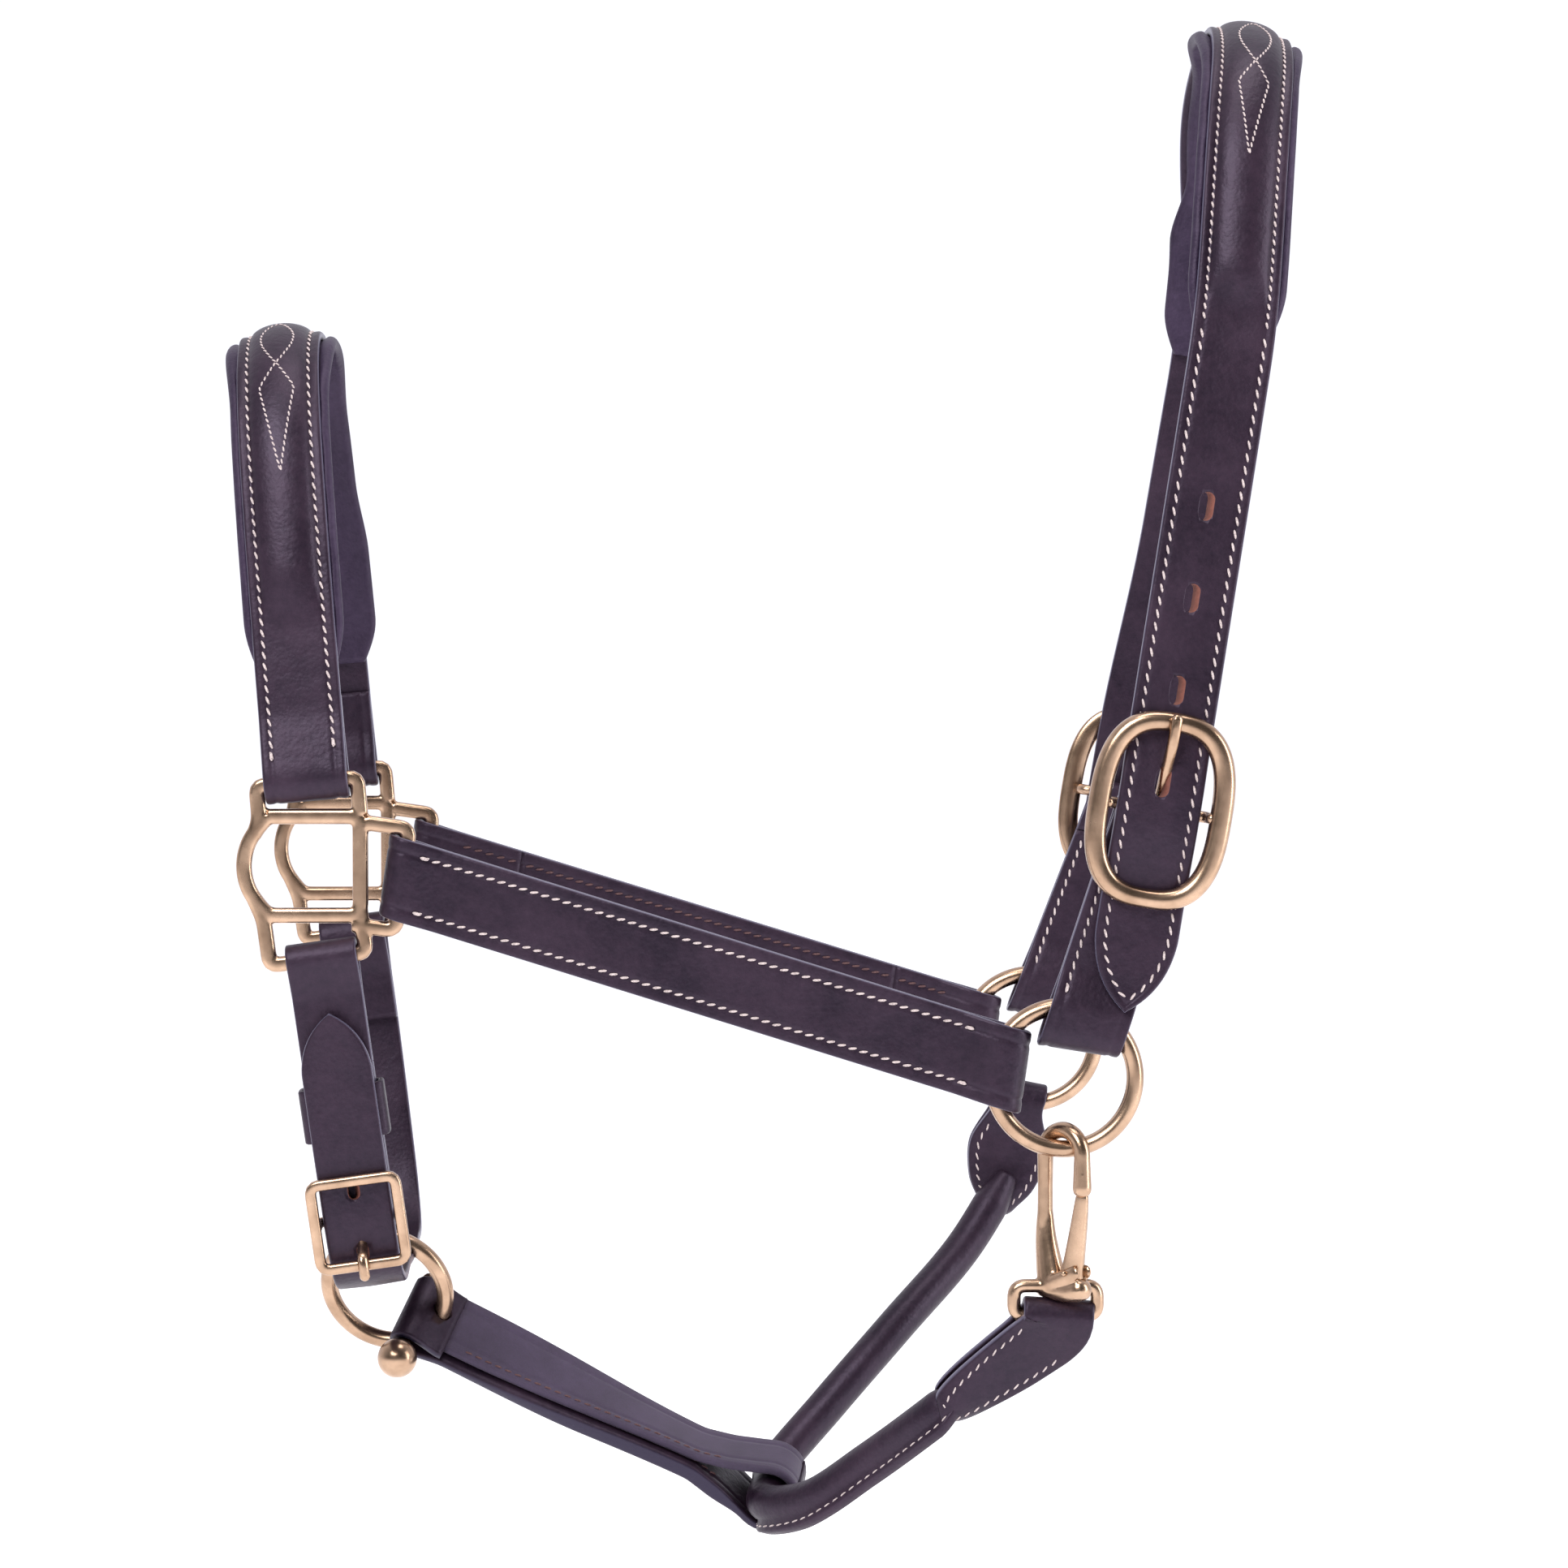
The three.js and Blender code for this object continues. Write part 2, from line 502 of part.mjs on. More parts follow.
function makeNoseband() {
  const barMiddle = vec3(SQUARE.x + SQUARE_NOSE_BAR.u, 0, SQUARE.z + SQUARE_NOSE_BAR.v);
  const noseTop = barMiddle.addScaledVector(vec3(Math.sin(NOSE_LEAN), 0, Math.cos(NOSE_LEAN)), NOSE_DEPTH);
  const plane = leaningPlane(noseTop, NOSE_LEAN);
  const inside = LINING + GAP;
  const middle = inside + BILLET / 2;
  const fold = SQUARE_EYE + BILLET / 2;
  const span = SQUARE.halfSpan;
  const arch = archLine(noseHalfLine, 40);
  const shifted = offsetLine(arch, middle);
  const nearEnd = [vec2(-span + 2, -NOSE_DEPTH + 26), vec2(-span + 2, -NOSE_DEPTH + 12), vec2(-span + fold, -NOSE_DEPTH + 2)];
  const farEnd = nearEnd.map((point) => vec2(-point.x, point.y)).reverse();
  const line = [
    ...nearEnd, ...arc(-span, -NOSE_DEPTH, fold, 0, -180, 8),
    vec2(-span - fold, -NOSE_DEPTH + 2),
    ...shifted,
    vec2(span + fold, -NOSE_DEPTH + 2),
    ...arc(span, -NOSE_DEPTH, fold, 0, -180, 8), ...farEnd,
  ];
  const raised = archLine(noseHalfLine, 30, 7);
  const top = inside + BILLET;
  const body = join(
    strap(line, -BILLET / 2, BILLET / 2, NOSE_WIDTH),
    strap(raised, top - 1, top + RAISED_HEIGHT, RAISED_WIDTH),
  );
  const channel = strap(raised, inside - 0.5, inside + RAISED_HEIGHT + 1, PAD_WIDTH + 4 * GAP);
  add('noseband_strap', cut(body, channel), leather(), plane);
  const padding = strap(raised.slice(3, -3), inside, inside + RAISED_HEIGHT + 0.7, PAD_WIDTH);
  add('noseband_padding', padding, foam(), plane);
  add('noseband_lining', strap(raised, 0, LINING, NOSE_LINING_WIDTH), suede(), plane);
}

// The line moved to its left by a distance.
function offsetLine(line, distance) {
  return line.map((point, i) => {
    const before = line[Math.max(i - 1, 0)];
    const after = line[Math.min(i + 1, line.length - 1)];
    const along = after.clone().sub(before).normalize();
    return vec2(point.x - along.y * distance, point.y + along.x * distance);
  });
}

// ---- chin straps ---------------------------------------------------------------------------
const chinOrigin = vec3(SQUARE.x + SQUARE_CHIN_BAR.u, 0, SQUARE.z + SQUARE_CHIN_BAR.v);
const chinPlane = leaningPlane(chinOrigin, CHIN_LEAN);

// Down the near hanger, with y outward and z across the strap.
function hangerPlace() {
  const top = vec3(-SQUARE.halfSpan, 0, 0).applyMatrix4(chinPlane);
  const bottom = vec3(-CHIN_BUCKLE.halfSpan, -CHIN_BUCKLE.drop, 0).applyMatrix4(chinPlane);
  return { matrix: basis(top, bottom.clone().sub(top).normalize(), vec3(0, -1, 0)), length: bottom.distanceTo(top) };
}

function makeHanger() {
  const { matrix, length } = hangerPlace();
  const body = wrappedStrap(
    length,
    { radius: SQUARE_EYE, reach: 0 },
    { radius: BAR_RADIUS + GAP, reach: 0 },
    CHAPE_PLY, CHIN_WIDTH, 34,
  );
  const slot = box(length - 5, length + 9, -9, 9, -2.3, 2.3);
  add('chin_hanger', cut(body, slot), leather(), matrix);

  const inner = KEEPER_REACH - KEEPER.wall;
  const wide = CHIN_WIDTH / 2 + 2 * GAP;
  const wall = KEEPER.wall;
  const start = KEEPER.top;
  const end = KEEPER.top + KEEPER.length;
  const keeper = cut(
    box(start, end, -inner - wall, inner + wall, -wide - wall, wide + wall),
    box(start - 1, end + 1, -inner, inner, -wide, wide),
  );
  add('chin_keeper', keeper, leather(), matrix);
}

function makeChinStrap() {
  const span = SQUARE.halfSpan;
  const fold = SQUARE_EYE + BILLET / 2;
  const flat = GAP / 2 + BILLET / 2;
  const lean = (SQUARE.halfSpan - CHIN_BUCKLE.halfSpan) / CHIN_BUCKLE.drop;
  const billet = KEEPER_REACH + GAP + BILLET / 2;
  const nearSide = (drop, lift = 0) => vec2(-(span - lean * drop) - billet - lift, -drop);
  const buckle = CHIN_BUCKLE.drop;
  const farLeg = smooth([
    vec2(span + flat, -14), vec2(span + flat - 0.6, -34), vec2(span - 4, -62), vec2(span - 10, -84),
    vec2(38, -100), vec2(20, -105), vec2(0, -106.6), vec2(-20, -106.2), vec2(-40, -104.8),
    vec2(-52, -102), vec2(-58, -97), nearSide(buckle + 7, -0.9), nearSide(buckle, -0.1), nearSide(buckle - 8, -0.1),
    nearSide(buckle - 16, -0.2), nearSide(buckle - 24), nearSide(34), nearSide(-CHIN_TIP),
  ], 72);
  const line = [
    vec2(span - flat, -30), vec2(span - flat, -14), vec2(span - fold, -3),
    ...arc(span, 0, fold, 180, 0, 8),
    vec2(span + fold, -3),
    ...farLeg,
  ];
  const body = strap(line, -BILLET / 2, BILLET / 2, CHIN_WIDTH);
  const outline = billetOutline(CHIN_WIDTH, 0, -160, -18);
  const tipTool = acrossStrap(mirroredUp(outline, CHIN_TIP), 60).translate(-span - 5, 0, 0);
  const farHalf = box(-span + 12, span + 20, -160, 20, -40, 40);
  const pointed = common(body, join(tipTool, farHalf));
  const holes = [-CHIN_BUCKLE.drop - 7.2, -CHIN_BUCKLE.drop + 9.5];
  const punched = cut(pointed, ...holes.map((height) => acrossStrap(oblongHole(height, 4.4, HOLE_LENGTH), 30).translate(-span, 0, 0)));
  add('chin_strap', punched, leather(), chinPlane);
}

// The pointed outline moved so that its tip is the given height, pointing up.
function mirroredUp(shape, tip) {
  const points = shape.getPoints(6).map((point) => vec2(point.x, point.y + tip));
  return new THREE.Shape(points.reverse());
}

function makeChinBuckle() {
  const centre = vec3(-CHIN_BUCKLE.halfSpan, -CHIN_BUCKLE.drop, 0).applyMatrix4(chinPlane);
  const up = vec3(-SQUARE.halfSpan, 0, 0).applyMatrix4(chinPlane).sub(centre).normalize();
  const place = basis(centre, vec3(0, -1, 0).addScaledVector(up, up.y).normalize(), up);
  const half = CHIN_BUCKLE.size / 2 - CHIN_BUCKLE.bar;
  const frame = windowFrame(-half, half, -half, half, CHIN_BUCKLE.bar, CHIN_BUCKLE.thick);
  frame.rotateY(Math.PI / 2).translate(CHIN_BUCKLE.back + CHIN_BUCKLE.thick / 2, 0, 0);
  add('chin_buckle', join(frame, centreBar(half + 1.6, CHIN_BUCKLE.back)), brass(), place);
  const rest = CHIN_BUCKLE.back + CHIN_BUCKLE.thick + 1.9;
  const route = [[2.1, 2.2], [5, 5.4], [8.6, 8.2], [rest, 11], [rest, 15.8]];
  add('chin_tongue', tongue(route, -1, 1.4), brass(), place);
}

// ---- jaw strap -----------------------------------------------------------------------------
const boltCentre = vec3(BOLT.x, BOLT.y, BOLT.z);
const jawAcross = JAW_ACROSS.clone().addScaledVector(JAW_DIRECTION, -JAW_ACROSS.dot(JAW_DIRECTION)).normalize();
// x along the strap from the bolt, y on its upper side, z across it towards the near side.
const jawPlace = basis(boltCentre, JAW_DIRECTION, JAW_DIRECTION.clone().cross(jawAcross));

// The strap twists between the bolt and the throat loop.
function twisted(geometry) {
  const position = geometry.attributes.position;
  for (let i = 0; i < position.count; i += 1) {
    const part = THREE.MathUtils.smoothstep(position.getX(i), 14, 104);
    const point = vec3(position.getX(i), position.getY(i), position.getZ(i)).applyAxisAngle(vec3(1, 0, 0), part * JAW_TWIST);
    position.setXYZ(i, point.x, point.y, point.z);
  }
  return geometry;
}

function makeJawStrap() {
  const eye = BOLT.radius + GAP;
  const flat = GAP / 2 + JAW_PLY / 2;
  const loop = ROLL_RADIUS + 6 * GAP + JAW_PLY / 2;
  const turn = 16;
  const split = 45;                // the strap ends here, in degrees round the throat loop
  const outer = [
    vec2(turn, flat), vec2(12, flat), vec2(2, eye + JAW_PLY / 2),
    ...arc(0, 0, eye + JAW_PLY / 2, 90, 270, 8),
    vec2(2, -eye - JAW_PLY / 2), vec2(13, -flat),
    ...smooth([vec2(24, -flat - 0.3), vec2(50, -flat - 0.9), vec2(76, -flat - 1), vec2(102, -flat - 0.4)], 12),
    vec2(JAW_LENGTH - 16, -flat - 2.4),
    ...arc(JAW_LENGTH, 0, loop, 240, 360 + split, 12),
  ];
  const slot = box(0.8, 10.6, -9, 9, -8, 3.4);
  add('jaw_strap', twisted(cut(strap(outer, -JAW_PLY / 2, JAW_PLY / 2, JAW_WIDTH), slot)), leather(), jawPlace);
  const inner = [
    vec2(turn + GAP, flat),
    ...smooth([vec2(24, flat - 0.2), vec2(50, flat - 0.3), vec2(76, flat - 0.3), vec2(102, flat)], 12),
    vec2(JAW_LENGTH - 16, flat + 2.4),
    ...arc(JAW_LENGTH, 0, loop, 120, split + 4, 5),
  ];
  add('jaw_lining', twisted(strap(inner, -JAW_PLY / 2, JAW_PLY / 2, JAW_WIDTH - 1)), suede(), jawPlace);
}

function makeBolt() {
  const end = JAW_WIDTH / 2 + GAP;
  const pin = bar(vec3(0, 0, -end - 1), vec3(0, 0, end + 2), BOLT.radius, 12);
  const ball = new THREE.SphereGeometry(BOLT.ball, 12, 8).translate(0, 0, end + BOLT.ball - 0.6);
  const head = bar(vec3(0, 0, -end), vec3(0, 0, -end - 2.2), 4, 14);
  add('halter_bolt', join(pin, ball, head), brass(), jawPlace);
}

// ---- rolled throat -------------------------------------------------------------------------
const loopCentre = vec3(JAW_LENGTH, 0, 0).applyMatrix4(jawPlace);
const loopAcross = jawAcross.clone().applyAxisAngle(JAW_DIRECTION.clone().normalize(), JAW_TWIST);
const LEAF_FOLD = 18;
const LEAF_SPREAD = THROAT_TAB.thick + 2 * GAP;

// The far leaf hangs from the far ring, in the ring's own plane.
const farLeaf = (() => {
  const along = vec3(-0.2, 0, -0.98).normalize();
  const seat = ringSeat(vec3(0, 0, 0), along, vec3(along.z, 0, -along.x), LEAF_FOLD / 2, RING.wire / 2 + 2 * GAP);
  const start = vec3(RING.x, FAR * RING.halfSpan, RING.z).addScaledVector(along, seat.start);
  return { reach: seat.reach, place: basis(start, along, vec3(0, 1, 0)), length: 38, axis: 0 };
})();

// The near leaf hangs from the snap's eye and turns off towards the roll in its own plane.
const snapEye = vec3(-69.5, -64, -400.5);
const nearLeaf = (() => {
  const down = vec3(0, 0.351, -0.936).normalize();
  return { reach: 1, place: basis(snapEye, down, vec3(0, -1, 0)), length: 46, axis: THREE.MathUtils.degToRad(47) };
})();

// The middle of a leaf's tip, and the way the roll leaves it.
function leafTip(leaf) {
  const along = vec3(Math.cos(leaf.axis), 0, Math.sin(leaf.axis));
  const tip = along.clone().multiplyScalar(leaf.length).applyMatrix4(leaf.place);
  const direction = tip.clone().sub(vec3(0, 0, 0).applyMatrix4(leaf.place)).normalize();
  return { tip, direction };
}

// The flat end of the rolled leather, sewn between the plies of a leaf.
function throatTab(leaf) {
  const tab = box(leaf.length - 17, leaf.length + 5, -THROAT_TAB.thick / 2, THROAT_TAB.thick / 2,
    -THROAT_TAB.width / 2, THROAT_TAB.width / 2);
  return tab.rotateY(-leaf.axis).applyMatrix4(leaf.place);
}

function makeThroat() {
  const near = leafTip(nearLeaf);
  const far = leafTip(farLeaf);
  const bend = (amount) => loopCentre.clone().addScaledVector(loopAcross, amount);
  const route = [
    far.tip.clone().addScaledVector(far.direction, 1.2), far.tip.clone().addScaledVector(far.direction, 6),
    vec3(-92, 51, -403), vec3(-115, 34, -421), vec3(-138, 23.5, -443),
    bend(13), bend(0), bend(-13),
    vec3(-146, -26.5, -465.5), vec3(-127, -37.5, -451),
    near.tip.clone().addScaledVector(near.direction, 6), near.tip.clone().addScaledVector(near.direction, 1.2),
  ];
  const roll = join(tube(route, ROLL_RADIUS, 44, 8), throatTab(nearLeaf), throatTab(farLeaf));
  add('throat_roll', roll, leather());
}

// Two plies folded round a fitting and cut to a leaf: x down the leaf, y outward, z across it.
function leafChape(leaf, radius, foldWidth, leafWidth) {
  const middle = radius + PLY / 2;
  const flat = LEAF_SPREAD / 2 + PLY / 2;
  const end = leaf.length + 12;
  const line = [
    vec2(end, -flat), vec2(leaf.reach + 11, -flat), vec2(leaf.reach, -middle),
    ...arc(0, 0, middle, 270, 90, 8),
    vec2(leaf.reach, middle), vec2(leaf.reach + 11, flat), vec2(end, flat),
  ];
  const at = (along, across) => vec2(
    along * Math.cos(leaf.axis) - across * Math.sin(leaf.axis),
    along * Math.sin(leaf.axis) + across * Math.cos(leaf.axis),
  );
  const side = (sign) => [
    vec2(leaf.reach + 5, sign * foldWidth / 2), at(leaf.length * 0.42, sign * leafWidth / 2),
    at(leaf.length * 0.72, sign * leafWidth * 0.42), at(leaf.length, sign * ROLL_RADIUS * 0.9),
  ];
  const outline = new THREE.Shape([
    vec2(-12, -foldWidth / 2), ...smooth(side(-1), 9), ...smooth(side(1), 9).reverse(), vec2(-12, foldWidth / 2),
  ]);
  return common(strap(line, -PLY / 2, PLY / 2, 110), slab(outline, 60).rotateX(Math.PI / 2));
}

function makeChapes() {
  add('throat_far_chape', leafChape(farLeaf, RING.wire / 2 + 2 * GAP, LEAF_FOLD, 27), leather(), farLeaf.place);
  add('throat_near_chape', leafChape(nearLeaf, 2 + 3 * GAP, 22, 25), leather(), nearLeaf.place);
}

// ---- snap ----------------------------------------------------------------------------------
// x across the snap, y up, z towards the viewer's side of it, with the hook's centre at the origin.
const hookCentre = vec3(RING.x, -RING.halfSpan, RING.z - RING.radius - 1.7);
const snapPlace = basis(hookCentre, vec3(Math.cos(SNAP_YAW), Math.sin(SNAP_YAW), 0), vec3(0, 0, 1));
const GATE_PIVOT = vec3(3.6, -36.5, 0);

function makeSnap() {
  const hook = [
    vec3(-SNAP_HOOK, -30, 0), vec3(-SNAP_HOOK, -8, 0),
    ...arc(0, 0, SNAP_HOOK, 180, 0, 8).map((point) => vec3(point.x, point.y, 0)),
    vec3(SNAP_HOOK, -6, 0), vec3(SNAP_HOOK, -11.5, 0),
  ];
  const shank = box(-SNAP_HOOK - 2.6, -SNAP_HOOK + 2.6, -42, -26, -2.6, 2.6);
  const cheeks = [-1, 1].map((end) => box(-4.9, 8, -43, -33.5, end * 2.9 - 1, end * 2.9 + 1));
  const base = box(-SNAP_HOOK - 2.6, 8, -43, -39.9, -3.9, 3.9);
  const turned = new THREE.Matrix4().copy(snapPlace).invert();
  const eyeHalf = 14.3;
  const eyeTop = hookCentre.z - 41.5;
  const corner = (sign, z) => vec3(snapEye.x + sign * eyeHalf, snapEye.y, z).applyMatrix4(turned);
  const left = [corner(-1, eyeTop), corner(-1, snapEye.z)];
  const right = [corner(1, eyeTop), corner(1, snapEye.z)];
  const eyeBars = [
    bar(left[0], left[1], 2, 8), bar(right[0], right[1], 2, 8), bar(left[1], right[1], 2, 8), bar(left[0], right[0], 2.2, 8),
    ...[...left, ...right].map((point) => new THREE.SphereGeometry(2.15, 8, 6).translate(point.x, point.y, point.z)),
  ];
  const pinHole = bar(GATE_PIVOT.clone().setZ(-6), GATE_PIVOT.clone().setZ(6), 1.25, 10);
  const body = join(tube(hook, SNAP_WIRE, 24, 8), shank, ...cheeks, base, ...eyeBars);
  add('snap_body', cut(body, pinHole), brass(), snapPlace);
  add('snap_gate_pin', bar(GATE_PIVOT.clone().setZ(-4.1), GATE_PIVOT.clone().setZ(4.1), 0.95, 10), brass(), snapPlace);

  const gate = new THREE.Shape();
  gate.moveTo(1.6, -38.4);
  gate.lineTo(5.7, -38.4);
  gate.lineTo(SNAP_HOOK + 1.7, -12.1);
  gate.lineTo(SNAP_HOOK - 1.7, -12.1);
  const drilled = cut(slab(gate, 3), bar(GATE_PIVOT.clone().setZ(-4), GATE_PIVOT.clone().setZ(4), 1.25, 10));
  add('snap_gate', drilled, brass(), snapPlace);
}

// ---- assembly ------------------------------------------------------------------------------
makeCrown();
makeRings();
makeSquares();
for (const side of [NEAR, FAR]) {
  makeBuckle(side);
  makeCheek(side);
}
makeNoseband();
makeHanger();
makeChinStrap();
makeChinBuckle();
makeJawStrap();
makeBolt();
makeThroat();
makeChapes();
makeSnap();

export default headcollar;
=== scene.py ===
"""Leather headcollar: its looks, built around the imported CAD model.

Shapes are worked out in millimetres in the CAD's own frame (nose to -X, near side to -Y, +Z up) and
become metres in to_object().
"""
import json
import math

import bpy
import bmesh
import numpy as np
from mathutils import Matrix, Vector


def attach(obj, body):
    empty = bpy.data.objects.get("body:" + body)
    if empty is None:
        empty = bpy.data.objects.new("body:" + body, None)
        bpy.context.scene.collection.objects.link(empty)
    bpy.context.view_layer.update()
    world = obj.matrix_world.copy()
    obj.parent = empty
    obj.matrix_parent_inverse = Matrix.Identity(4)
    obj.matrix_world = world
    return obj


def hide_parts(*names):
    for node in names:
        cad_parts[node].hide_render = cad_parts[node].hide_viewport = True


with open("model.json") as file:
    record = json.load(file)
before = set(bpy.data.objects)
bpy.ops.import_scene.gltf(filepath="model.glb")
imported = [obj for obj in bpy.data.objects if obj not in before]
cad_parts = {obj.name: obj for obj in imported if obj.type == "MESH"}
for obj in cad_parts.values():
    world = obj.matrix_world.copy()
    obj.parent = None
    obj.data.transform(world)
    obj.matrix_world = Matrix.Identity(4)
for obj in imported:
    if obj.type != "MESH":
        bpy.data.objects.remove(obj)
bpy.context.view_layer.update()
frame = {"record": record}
bodies = frame["record"]["behaviour"]["bodies"]

# ---- sizes shared with the CAD source, in millimetres ---------------------------------------
GAP = 0.3
PLY = 2.6
BILLET = 3.0
LINING = 2.4
NEAR = -1
FAR = 1

CROWN_WIDTH = 26.0
CROWN_LINING_WIDTH = 35.0
RAISED_HALF = 9.3
RAISED_HEIGHT = 3.6
CROWN_LEAN = math.radians(9.3)
POLL_SWAY = -5.0
FAR_SWAY = {"most": 8.0, "kept": 5.0}
CROWN_TIP = -309.0
CROWN_HOLES = (-236.4, -207.6, -178.8, -150.0)
HOLE_LENGTH = 9.0
HOLE_WIDTH = 4.5

NOSE_WIDTH = 26.0
NOSE_LINING_WIDTH = 35.0
NOSE_LEAN = math.radians(-5)
NOSE_DEPTH = 137.6

SQUARE = {"x": -300.0, "half_span": 60.0, "z": -260.0, "bar": 4.2}
NOSE_BAR = (-3.2, 26.2)
CHEEK_BAR = (26.4, -4.3)
CHIN_BAR = (1.5, -28.8)
SQUARE_BAR_HALF = 2.45
SQUARE_EYE = 3.4

RING = {"x": -67.9, "half_span": 67.0, "z": -325.8, "radius": 22.2, "wire": 5.4}
CHIN_RING = {"centre": (-283.0, 0.0, -401.0), "radius": 19.5, "wire": 5.6}
CHIN_RING_AXIS = (0.2, 0.9, 0.38)

CHEEK_WIDTH = 25.4
CHEEK_FOLD_LEAN = math.radians(8)
CHEEK_DROP = 2.2
TURN_BACK = 32.0

BUCKLE = {"x": -39.3, "half_span": 69.0, "z": -242.3, "width": 45.0, "height": 61.0}
BUCKLE_SIDE = 7.0
BUCKLE_END = 6.0
BUCKLE_THICK = 4.6
BUCKLE_BACK = 7.2
BAR_RADIUS = 1.8
CHAPE_WIDTH = 25.4
CHAPE_PLY = 2.3
CHAPE_SHIFT = 1.4

CHIN_WIDTH = 22.0
CHIN_LEAN = math.radians(-7.8)
CHIN_BUCKLE = {"drop": 82.2, "half_span": 55.0, "size": 30.2, "bar": 3.5, "thick": 3.2, "back": 8.4}
CHIN_TIP = -17.0
KEEPER = {"top": 40.0, "length": 17.0, "wall": 1.8}

JAW_WIDTH = 25.4
JAW_PLY = 2.8
BOLT = {"centre": (-273.0, 0.0, -409.6), "radius": 2.5, "ball": 6.4}
JAW_DIRECTION = (0.898, 0.0, -0.44)
JAW_ACROSS = (0.312, 0.706, 0.636)
JAW_TWIST = math.radians(-29)
JAW_LENGTH = 128.0
JAW_TURN = 12.4          # where the end turned back round the bolt is cut

ROLL_RADIUS = 6.2
ROLL_FLANGE = 3.4        # the sewn edge of the roll
ROLL_SEAM_HALF = 1.9
LEAF_FOLD = 18.0
LEAF_SPREAD = 3.0
SNAP_EYE = (-69.5, -64.0, -400.5)
SNAP_YAW = math.radians(-46)
SNAP_HOOK = 7.6
SNAP_EYE_HALF = 13.0

# ---- sizes of the finer detail, in millimetres ----------------------------------------------
EDGE = 1.05              # rounding of a strap's burnished edges
STEP = 1.8               # spacing of the sections along a strap
LEAST_HALF = 0.12        # half width at the very point of a strap, so that its sections stay open
RIM_FADE = 1.4           # how far in from an edge its polish and its painted edge highlight (painted shade on the jaw strap) reach
STITCH_PITCH = 3.5
STITCH_LENGTH = 2.5
THREAD_RADIUS = 0.4
FINE_THREAD = 0.3
STITCH_SLANT = math.radians(21)
GROOVE_DEPTH = 0.28
GROOVE_HALF = 0.75
RAISED_POWER = 0.62      # shape of the raised middle: lower is flatter on top with steeper sides
THREAD_SINK = 0.1        # how deep the crown's rows sit in their grooves
HOLE_OVERLAP = 0.5       # how far a hole's cutter passes each face of the strap
CROWN_INSET = 3.1        # stitching, in from the strap's edge
NOSE_INSET = 3.3
CHEEK_INSET = 4.2
CHIN_CURL = 4.0          # how far the edges of the chin strap curl up at the bottom


# ---- vectors and placing --------------------------------------------------------------------
def unit(vector):
    vector = np.asarray(vector, float)
    return vector / np.linalg.norm(vector)


def place(x_axis, y_axis, z_axis, origin):
    matrix = np.eye(4)
    matrix[:3, 0] = x_axis
    matrix[:3, 1] = y_axis
    matrix[:3, 2] = z_axis
    matrix[:3, 3] = origin
    return matrix


def basis(origin, x_axis, y_axis):
    x_axis = unit(x_axis)
    z_axis = unit(np.cross(x_axis, y_axis))
    return place(x_axis, np.cross(z_axis, x_axis), z_axis, origin)


def moved(matrix, points):
    points = np.asarray(points, float)
    return points @ matrix[:3, :3].T + matrix[:3, 3]


def leaning_plane(origin, lean):
    """Across the horse, with its top leaning towards +X."""
    return basis(origin, (0, 1, 0), (math.sin(lean), 0, math.cos(lean)))


def skewed(origin, direction, fold, side):
    """Along one direction with the folds along another, so that the strap is a skewed band."""
    direction = unit(direction)
    normal = np.cross(direction, fold)
    stretch = 1 / np.linalg.norm(normal)
    outward = unit(normal) * np.sign(normal[1]) * side
    across = np.asarray(fold) * stretch * np.sign(np.dot(np.cross(direction, outward), fold))
    return place(direction, outward, across, origin)


def side_name(side):
    return "near" if side == NEAR else "far"


# ---- lines ----------------------------------------------------------------------------------
def arc(x, y, radius, start, end, steps):
    angles = np.radians(np.linspace(start, end, steps + 1))
    return np.stack([x + radius * np.cos(angles), y + radius * np.sin(angles)], 1)


def smooth(points, samples):
    """A curve through the points, evenly sampled between them."""
    points = np.asarray(points, float)
    last = len(points) - 1
    t = np.linspace(0, last, samples + 1)
    i = np.minimum(t.astype(int), last - 1)
    w = (t - i)[:, None]
    before, start = points[np.maximum(i - 1, 0)], points[i]
    end, after = points[i + 1], points[np.minimum(i + 2, last)]
    leave, arrive = (end - before) / 2, (after - start) / 2
    cubic = (2 * (start - end) + leave + arrive) * w ** 3
    return cubic + (3 * (end - start) - 2 * leave - arrive) * w ** 2 + leave * w + start


def distances(line):
    return np.concatenate([[0.0], np.cumsum(np.linalg.norm(np.diff(line, axis=0), axis=1))])


def resample(line, step):
    line = np.asarray(line, float)
    along = distances(line)
    wanted = np.linspace(0, along[-1], max(int(round(along[-1] / step)), 2) + 1)
    return np.stack([np.interp(wanted, along, line[:, k]) for k in range(line.shape[1])], 1)


def softened(line, rounds):
    """The line with its corners eased, its ends kept."""
    line = line.copy()
    for _ in range(rounds):
        line[1:-1] = (line[:-2] + 2 * line[1:-1] + line[2:]) / 4
    return line


def mirrored(half):
    """The whole line over the top from the near end to the far one."""
    half = np.asarray(half, float)
    return np.concatenate([(half[1:] * (-1, 1))[::-1], half])


def tangents(line, closed=False):
    """The direction of a line at each of its points."""
    steps = np.roll(line, -1, 0) - np.roll(line, 1, 0) if closed else np.gradient(line, axis=0)
    return steps / np.linalg.norm(steps, axis=1)[:, None]


def left_of(directions):
    """Flat directions given a quarter turn to the left."""
    return np.stack([-directions[:, 1], directions[:, 0]], 1)


def offset_line(line, distance):
    return line + left_of(tangents(line)) * distance


def corner_curve(before, corner, after, radius, samples):
    """Points round the corner between two straight runs."""
    start, end = corner + unit(before - corner) * radius, corner + unit(after - corner) * radius
    return [(1 - t) ** 2 * start + 2 * t * (1 - t) * corner + t * t * end for t in np.linspace(0, 1, samples)]


